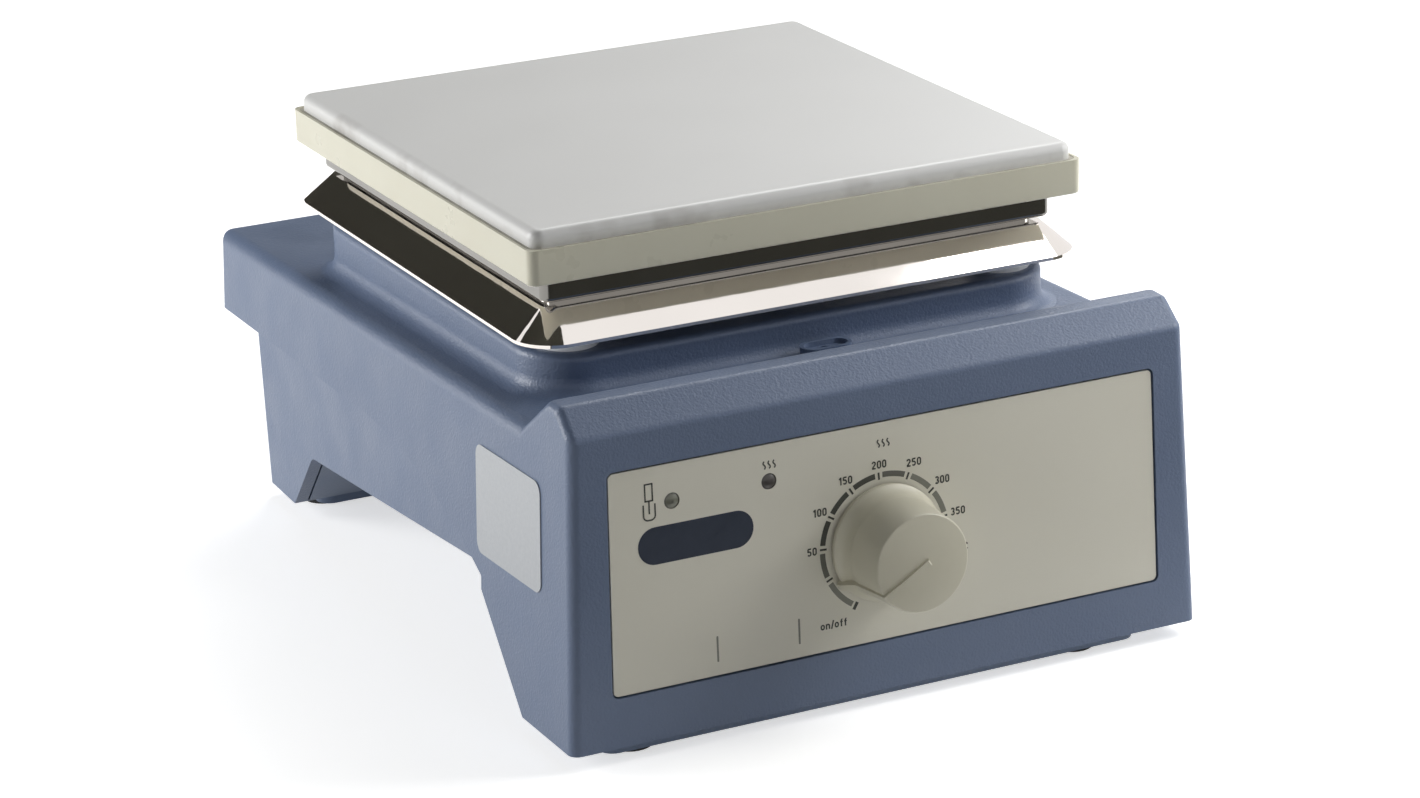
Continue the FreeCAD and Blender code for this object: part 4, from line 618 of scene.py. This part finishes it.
@dataclass(frozen=True)
class Lettering:
    """Plain engineer's characters in one stroke of even width.

    Every size and place is a share of a capital's height, from the left end of the base line.
    """

    weight: float = 0.195
    gap: float = 0.16
    low: float = 0.08
    high: float = 0.92
    side: float = 0.08
    far_side: float = 0.48
    small_high: float = 0.62
    ring_end: float = 1.1

    @staticmethod
    def bow(middle: Point2, reach: Point2, start_deg: float, end_deg: float) -> Line:
        """Points along a stretch of an ellipse.

        Args:
            middle: Middle of the ellipse.
            reach: Its half width and half height.
            start_deg: Angle of the first point.
            end_deg: Angle of the last point.

        Returns:
            The points in order.
        """
        turn = end_deg - start_deg
        angles = [math.radians(start_deg + turn * i / BOW_STEPS) for i in range(BOW_STEPS + 1)]
        return [(middle[0] + reach[0] * math.cos(a), middle[1] + reach[1] * math.sin(a)) for a in angles]

    def ring(self, high: float) -> list[Line]:
        """Two halves of an upright ring that stands on the line, its ends a little taller than round.

        Args:
            high: Height of the ring's top.

        Returns:
            The right half and the left half.
        """
        middle = (self.side + self.far_side) / 2
        half = (self.far_side - self.side) / 2
        end = min(half * self.ring_end, (high - self.low) / 2)
        right = self.bow((middle, self.low + end), (half, end), -90, 0)
        right += self.bow((middle, high - end), (half, end), 0, 90)
        left = self.bow((middle, high - end), (half, end), 90, 180)
        left += self.bow((middle, self.low + end), (half, end), 180, 270)
        return [right, left]

    def lines(self, character: str) -> list[Line]:
        """Centre lines of one character.

        Args:
            character: One of the characters on the panel.

        Returns:
            Its lines, each as points.
        """
        low, high, side, far = self.low, self.high, self.side, self.far_side
        middle, half = (side + far) / 2, (far - side) / 2
        drawn = {
            "0": self.ring(high),
            "1": [[(middle + 0.05, 0.0), (middle + 0.05, 1.0)],
                  [(side + 0.02, 0.72), (middle + 0.05, 0.95)]],
            "2": [self.bow((middle, 0.7), (half, 0.22), 172, -35) + [(side, low + 0.05)],
                  [(side - 0.06, low), (far + 0.06, low)]],
            "3": [self.bow((middle, 0.71), (half - 0.02, 0.21), 158, -90),
                  self.bow((middle, 0.29), (half, 0.21), 90, -158)],
            "5": [[(far + 0.04, high), (side, high)], [(side + 0.03, high), (side + 0.01, 0.5)],
                  self.bow((middle - 0.01, 0.33), (half + 0.01, 0.25), 128, -150)],
            "C": [self.bow((middle, high - 0.22), (half, 0.22), 5, 180)
                  + self.bow((middle, low + 0.22), (half, 0.22), 180, 355)],
            "°": [self.bow((0.14, 0.84), (0.09, 0.1), 0, 180),
                  self.bow((0.14, 0.84), (0.09, 0.1), 180, 360)],
            "o": self.ring(self.small_high),
            "n": [[(side, 0.0), (side, self.small_high + 0.06)],
                  self.bow((middle, self.small_high - 0.2), (half, 0.2), 165, 0) + [(far, 0.0)]],
            "f": [[(side + 0.12, 0.0), (side + 0.12, 0.74)]
                  + self.bow((side + 0.28, 0.74), (0.16, 0.18), 170, 90),
                  [(side - 0.04, self.small_high), (side + 0.3, self.small_high)]],
            "/": [[(side - 0.02, -0.06), (side + 0.26, 1.04)]],
        }
        return drawn[character]

    def advance(self, character: str) -> float:
        """Step to the next character; some are narrower than the rest."""
        narrow = {"°": 0.22, "f": 0.4, "/": 0.34, "1": 0.44}
        return narrow.get(character, self.far_side + self.side) + self.gap

    def width(self, word: str) -> float:
        """Width of a word without the gap after it."""
        return sum(self.advance(character) for character in word) - self.gap


@dataclass(frozen=True)
class ProbeSign:
    """Outline of a probe that dips into an open vessel, in millimetres on the panel."""

    middle: float = -63.0
    line: float = 0.38
    corner: float = 0.1
    body_half: float = 0.95
    body_low: float = 19.1
    body_high: float = 23.2
    stem_low: float = 15.9
    vessel_half: float = 1.5
    vessel_low: float = 14.4
    vessel_high: float = 18.3
    bend: float = 1.1
    bend_steps: int = 6

    def probe(self) -> list[Line]:
        """Bars of the probe's body and its stem.

        Returns:
            Their outlines.
        """
        body = self.body_high - self.body_low
        across = 2 * self.body_half + self.line
        half_way = (self.body_low + self.body_high) / 2
        stem = self.body_low - self.stem_low
        return [pill((self.middle - self.body_half, half_way), self.line, body, self.corner),
                pill((self.middle + self.body_half, half_way), self.line, body, self.corner),
                pill((self.middle, self.body_high), across, self.line, self.corner),
                pill((self.middle, self.body_low), across, self.line, self.corner),
                pill((self.middle, (self.body_low + self.stem_low) / 2), self.line, stem, self.corner)]

    def vessel(self) -> Line:
        """One line down the left side, round the bottom and up the right side.

        Returns:
            The line's outline.
        """
        left = self.middle - self.vessel_half
        half = [(left, self.vessel_high), (left, self.vessel_low + self.bend)]
        for step in range(1, self.bend_steps + 1):
            angle = math.radians(90 * step / self.bend_steps)
            half.append((left + self.bend * (1 - math.cos(angle)),
                         self.vessel_low + self.bend * (1 - math.sin(angle))))
        whole = half + [(2 * self.middle - x, y) for x, y in reversed(half)]
        return stroke(whole, self.line)

    def outlines(self) -> list[Line]:
        """Every outline of the sign."""
        return self.probe() + [self.vessel()]


@dataclass
class ControlFront(SubAssembly):
    """Fascia with its lamps, knob and the parts behind it, and the print on its film.

    Places are in millimetres from the panel's middle, to the right and up along its face.
    """

    finishes = {
        "fascia_panel": Finishes.film, "power_lamp_lens": Finishes.grey_lens,
        "hot_lamp_lens": Finishes.dark_lens, "lamp_leds": Finishes.black, "control_board": Finishes.laminate,
        "board_standoffs": Finishes.brass, "board_screws": Finishes.zinc, "heat_control": Finishes.zinc,
        "control_washer": Finishes.zinc, "control_nut": Finishes.zinc, "control_shaft": Finishes.brass,
        "control_knob": Finishes.knob, "knob_insert": Finishes.brass,
    }

    lean_deg: float = 1.7
    panel_thick: float = 1.5
    ink_lift: float = 0.01
    ink_thick: float = 0.03
    dial: Point2 = (-1.55, -2.6)
    band: Point2 = (16.1, 17.5)
    band_step_deg: float = 1.5
    tick_reach: Point2 = (15.7, 17.5)
    off_tick_reach: Point2 = (15.9, 17.9)
    tick_width: float = 0.5
    off_tick_width: float = 0.85
    tick_gap_deg: float = 3.4
    off_deg: float = 240.2
    low_deg: float = 204.3
    first_number_deg: float = 176.4
    number_step_deg: float = 27.5
    number_height: float = 1.95
    number_places: tuple[tuple[str, Point2], ...] = (
        ("50", (-19.59, 1.06)), ("100", (-17.21, 10.46)), ("150", (-10.12, 17.14)), ("200", (-0.99, 19.45)),
        ("250", (8.41, 18.39)), ("300", (15.98, 12.66)), ("350", (20.07, 3.95)))
    unit_place: Point2 = (21.7, -5.42)
    switch_place: Point2 = (-15.96, -20.72)
    letters: Lettering = Lettering()
    bar_middle: Point2 = (-51.3, 7.9)
    bar_size: Point2 = (30.0, 9.2)
    bar_corner: float = 4.5
    divider_places: tuple[Point2, ...] = ((-46.87, -20.7), (-25.22, -20.7))
    divider_size: Point2 = (0.5, 6.45)
    divider_corner: float = 0.2
    wave_places: tuple[Point2, ...] = ((-31.61, 22.22), (-1.25, 22.05))
    wave_height: float = 1.9
    wave_pitch: float = 1.3
    wave_swing: float = 0.28
    wave_line: float = 0.36
    probe_sign: ProbeSign = ProbeSign()
    matrix: Matrix = field(init=False)

    def __post_init__(self) -> None:
        """Find the panel's face from its box in the frame."""
        low, high = (Vector(corner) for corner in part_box("fascia_panel"))
        middle = (low + high) / 2
        lean = math.radians(self.lean_deg)
        out = Vector((0, -math.cos(lean), math.sin(lean)))
        origin = middle + out * self.panel_thick * MM / 2
        turn = Matrix.Rotation(math.pi / 2 - lean, 4, "X")
        self.matrix = Matrix.Translation(origin) @ turn

    def printed(self, name: str, outlines: list[Line], finish: Finish) -> None:
        """Lay thin ink shapes on the panel's face as one piece.

        Args:
            name: Name of the piece.
            outlines: Closed outlines, in millimetres, anticlockwise.
            finish: Its ink.
        """
        work = bmesh.new()
        for outline in outlines:
            corners = [work.verts.new((x * MM, y * MM, self.ink_lift * MM)) for x, y in outline]
            face = work.faces.new(corners)
            grown = bmesh.ops.extrude_face_region(work, geom=[face])
            tops = [v for v in grown["geom"] if isinstance(v, bmesh.types.BMVert)]
            bmesh.ops.translate(work, verts=tops, vec=(0, 0, self.ink_thick * MM))
        bmesh.ops.recalc_face_normals(work, faces=work.faces)
        mesh = bpy.data.meshes.new(name)
        work.to_mesh(mesh)
        work.free()
        mesh.transform(self.matrix)
        new_piece(name, mesh, finish, BASE_BODY)

    def written(self, word: str, middle: Point2) -> list[Line]:
        """Outlines of one word.

        Args:
            word: Its characters.
            middle: Middle of the word, in millimetres.

        Returns:
            One outline for each stroke.
        """
        height = self.number_height
        left = middle[0] - self.letters.width(word) * height / 2
        outlines = []
        for character in word:
            for line in self.letters.lines(character):
                placed = [(left + x * height, middle[1] + (y - 0.5) * height) for x, y in line]
                outlines.append(stroke(placed, self.letters.weight * height))
            left += self.letters.advance(character) * height
        return outlines

    def around(self, radius: float, angle_deg: float) -> Point2:
        """Place on a circle about the dial's middle."""
        angle = math.radians(angle_deg)
        return self.dial[0] + radius * math.cos(angle), self.dial[1] + radius * math.sin(angle)

    def stretch(self, start_deg: float, end_deg: float) -> Line:
        """Outline of one stretch of the dial's band, which runs clockwise.

        Args:
            start_deg: Angle of its first end.
            end_deg: Angle of its last end, the smaller one.

        Returns:
            The outline's points.
        """
        steps = max(2, round((start_deg - end_deg) / self.band_step_deg))
        angles = [end_deg + (start_deg - end_deg) * i / steps for i in range(steps + 1)]
        inner, outer = self.band
        outside = [self.around(outer, a) for a in angles]
        inside = [self.around(inner, a) for a in reversed(angles)]
        return outside + inside

    def tick(self, angle_deg: float, width: float, reach: Point2) -> Line:
        """Outline of one tick.

        Args:
            angle_deg: Its angle on the dial.
            width: Its width.
            reach: Its inner and its outer radius.

        Returns:
            Its four corners.
        """
        angle = math.radians(angle_deg)
        side = (-math.sin(angle) * width / 2, math.cos(angle) * width / 2)
        inner, outer = (self.around(radius, angle_deg) for radius in reach)
        return [(inner[0] - side[0], inner[1] - side[1]), (outer[0] - side[0], outer[1] - side[1]),
                (outer[0] + side[0], outer[1] + side[1]), (inner[0] + side[0], inner[1] + side[1])]

    def print_band(self, marks: list[float]) -> None:
        """Print the band's stretches, which stop short of every mark.

        Args:
            marks: Angles of the marks, clockwise.
        """
        gap = self.tick_gap_deg
        spans = [self.stretch(a - gap, b + gap) for a, b in zip(marks, marks[1:])]
        # The band is printed ink, darkest over the middle numbers; its paler stretches towards both ends are
        # painted sheen on that ink
        self.printed("dial_band_dark", spans[2:5], Finishes.ink)
        self.printed("dial_band_half_sheen", spans[1:2] + spans[5:6], Finishes.sheen_grey_ink)
        self.printed("dial_band_painted_sheen", spans[:1] + spans[6:], Finishes.mid_ink_and_sheen)

    def print_dial(self) -> None:
        """Print the band, the ticks, the numbers and the words round the knob."""
        numbers = [self.first_number_deg - i * self.number_step_deg for i in range(len(self.number_places))]
        marks = [self.off_deg, self.low_deg] + numbers
        self.print_band(marks)
        ticks = [self.tick(self.off_deg, self.off_tick_width, self.off_tick_reach)]
        ticks += [self.tick(angle, self.tick_width, self.tick_reach) for angle in marks[1:]]
        self.printed("dial_ticks", ticks, Finishes.ink)
        outlines = []
        for word, (x, y) in self.number_places + (("°C", self.unit_place),):
            outlines += self.written(word, (self.dial[0] + x, self.dial[1] + y))
        outlines += self.written("on/off", self.switch_place)
        self.printed("dial_numbers", outlines, Finishes.ink)

    def heat_wave(self, x: float, y: float) -> Line:
        """Outline of one rising wave of heat.

        Args:
            x: Its middle, to the right.
            y: Its middle, upwards.

        Returns:
            The outline's points.
        """
        line = []
        for i in range(WAVE_STEPS + 1):
            share = i / WAVE_STEPS
            line.append((x + self.wave_swing * math.sin(share * 2 * math.pi),
                         y - self.wave_height / 2 + self.wave_height * share))
        return stroke(line, self.wave_line)

    def print_signs(self) -> None:
        """Print the plain bar, the dividers, the heat waves over the lamps and the probe."""
        bar = pill(self.bar_middle, *self.bar_size, self.bar_corner)
        self.printed("fascia_bar", [bar], Finishes.navy_ink)
        dividers = [pill(place, *self.divider_size, self.divider_corner) for place in self.divider_places]
        self.printed("fascia_dividers", dividers, Finishes.mid_ink_and_sheen)
        waves = [self.heat_wave(x + turn * self.wave_pitch, y)
                 for x, y in self.wave_places for turn in (-1, 0, 1)]
        self.printed("heat_waves", waves, Finishes.ink)
        self.printed("probe_sign", self.probe_sign.outlines(), Finishes.ink)

    def build(self) -> None:
        """Dress the front's pieces and print the panel."""
        super().build()
        self.print_dial()
        self.print_signs()


class LightName(Enum):
    """The studio's lamps, by what they do."""

    KEY = "left_key"
    TOP = "top_right"
    SIDE = "right_side"
    SHEEN = "bevel_sheen"
    FRONT = "right_front"


@dataclass(frozen=True)
class SoftBox:
    """One square area lamp of white light, aimed at the object's middle."""

    name: LightName
    place: Point3
    size: float
    watts: float

    def build(self, aim: Vector) -> None:
        """Place the lamp and turn it to the aim.

        Args:
            aim: Place that it shines on.
        """
        data = bpy.data.lights.new(self.name.value, "AREA")
        data.energy = self.watts
        data.size = self.size
        lamp = bpy.data.objects.new(self.name.value, data)
        bpy.context.scene.collection.objects.link(lamp)
        lamp.location = self.place
        lamp.rotation_euler = (aim - Vector(self.place)).to_track_quat("-Z", "Y").to_euler()


@dataclass(frozen=True)
class Flag:
    """One dark studio cloth: it shows in metal and gloss and lets every lamp's light pass."""

    name: str
    corners: tuple[Point3, ...]

    def build(self) -> None:
        """Hang the cloth as part of the stage."""
        cloth = new_sheet(self.name, self.corners, Finishes.cloth)
        cloth.visible_camera = False
        cloth.visible_diffuse = False
        cloth.visible_shadow = False


@dataclass
class Studio:
    """Pale floor, white surroundings, soft lamps and the photographer's camera."""

    floor_half: float = 6.0
    floor_glow: float = 0.62
    world_level: float = 0.1
    backdrop_level: float = 1.0
    azimuth_deg: float = -26.187
    elevation_deg: float = 19.101
    roll_deg: float = -1.552
    distance_mm: float = 1122.07
    aim_height_mm: float = 60.0
    offset_mm: Point2 = (7.046, -14.952)
    lens_mm: float = 110.06
    sensor_mm: float = 36.0
    shift: Point2 = (-0.0005, -0.0013)
    flags: tuple[Flag, ...] = (
        Flag("back_cloth", ((-1.1, 1.8, 0.0), (1.15, 1.8, 0.0), (1.15, 1.8, 1.5), (-1.1, 1.8, 1.5))),
        Flag("top_cloth", ((-1.7, -1.3, 1.6), (0.2, -1.3, 1.6), (0.2, 1.3, 1.6), (-1.7, 1.3, 1.6))),
        Flag("table_cloth", ((-0.22, -1.4, 0.002), (0.8, -1.4, 0.002), (0.8, -0.16, 0.002),
                             (-0.22, -0.16, 0.002))),
    )
    lamps: tuple[SoftBox, ...] = (
        SoftBox(LightName.KEY, (-1.0, 0.65, 0.33), 0.6, 10.4),
        SoftBox(LightName.TOP, (1.0, 1.1, 1.6), 1.0, 18.5),
        SoftBox(LightName.SIDE, (0.38, -0.2, 0.28), 0.2, 0.85),
        SoftBox(LightName.SHEEN, (0.36, -0.2, 0.5), 0.2, 0.55),
        SoftBox(LightName.FRONT, (0.75, -0.45, 0.45), 0.4, 0.6),
    )

    @staticmethod
    def seen(tree: bpy.types.NodeTree) -> bpy.types.NodeSocket:
        """Mask that is 1 for the eye, for mirrors and for glass, and 0 for light on matt surfaces.

        Args:
            tree: Node tree of a material or of the world.

        Returns:
            The mask's socket.
        """
        rays = add_node(tree, "ShaderNodeLightPath")
        shown = add_node(tree, "ShaderNodeMath",
                         {0: rays.outputs["Is Camera Ray"], 1: rays.outputs["Is Glossy Ray"]},
                         operation="MAXIMUM")
        return add_node(tree, "ShaderNodeMath",
                        {0: shown.outputs[0], 1: rays.outputs["Is Transmission Ray"]},
                        operation="MAXIMUM").outputs[0]

    def build_floor(self) -> None:
        """Large pale floor that keeps the object's shadow."""
        half = self.floor_half
        floor = new_sheet("floor", ((-half, -half, 0), (half, -half, 0), (half, half, 0), (-half, half, 0)),
                          Finishes.floor)
        tree = floor.data.materials[0].node_tree
        shader = next(n for n in tree.nodes if n.type == "BSDF_PRINCIPLED")
        shader.inputs["Emission Color"].default_value = linear("#FFFFFF")
        glow = add_node(tree, "ShaderNodeMath", {0: self.seen(tree), 1: self.floor_glow},
                        operation="MULTIPLY")
        tree.links.new(glow.outputs[0], shader.inputs["Emission Strength"])

    def build_world(self) -> None:
        """White surroundings for the eye and for mirrors, softer light for matt surfaces."""
        world = bpy.data.worlds.new("studio")
        bpy.context.scene.world = world
        world.use_nodes = True
        tree = world.node_tree
        tree.nodes.clear()
        level = add_node(tree, "ShaderNodeMapRange",
                         {"Value": self.seen(tree), "To Min": self.world_level,
                          "To Max": self.backdrop_level})
        light = add_node(tree, "ShaderNodeBackground",
                         {"Color": linear("#FFFFFF"), "Strength": level.outputs["Result"]})
        add_node(tree, "ShaderNodeOutputWorld", {"Surface": light.outputs[0]})

    def build_camera(self) -> None:
        """Camera at the photograph's viewpoint, worked out from its measured angles."""
        low, high = (Vector(corner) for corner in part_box("ceramic_plate"))
        aim = Vector((0, (low.y + high.y) / 2, self.aim_height_mm * MM))
        a, e, r = (math.radians(v) for v in (self.azimuth_deg, self.elevation_deg, self.roll_deg))
        back = Vector((math.sin(a) * math.cos(e), -math.cos(a) * math.cos(e), math.sin(e)))
        right = (-back).cross(Vector((0, 0, 1))).normalized()
        up = right.cross(-back)
        across = right * math.cos(r) + up * math.sin(r)
        upward = up * math.cos(r) - right * math.sin(r)
        place = aim + (back * self.distance_mm + right * self.offset_mm[0] + up * self.offset_mm[1]) * MM
        data = bpy.data.cameras.new("camera")
        data.lens = self.lens_mm
        data.sensor_width = self.sensor_mm
        data.shift_x, data.shift_y = self.shift
        camera = bpy.data.objects.new("camera", data)
        bpy.context.scene.collection.objects.link(camera)
        turn = Matrix((across, upward, back)).transposed()
        camera.matrix_world = Matrix.Translation(place) @ turn.to_4x4()
        bpy.context.scene.camera = camera

    def build(self) -> None:
        """Set up everything round the object."""
        bpy.context.scene.view_settings.view_transform = "Standard"
        self.build_floor()
        self.build_world()
        self.build_camera()
        for cloth in self.flags:
            cloth.build()
        for lamp in self.lamps:
            lamp.build(Vector((0, 0, self.aim_height_mm * MM)))
        log.info("studio ready with %d lamps", len(self.lamps))


def main() -> None:
    """Build the looks in order."""
    logging.basicConfig(level=logging.INFO, format="%(name)s: %(message)s")
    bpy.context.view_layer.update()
    for group in (Studio(), Housing(), HeatedTop(), ControlFront(), PowerParts(), RearSockets()):
        group.build()


if __name__ == "__main__":
    main()
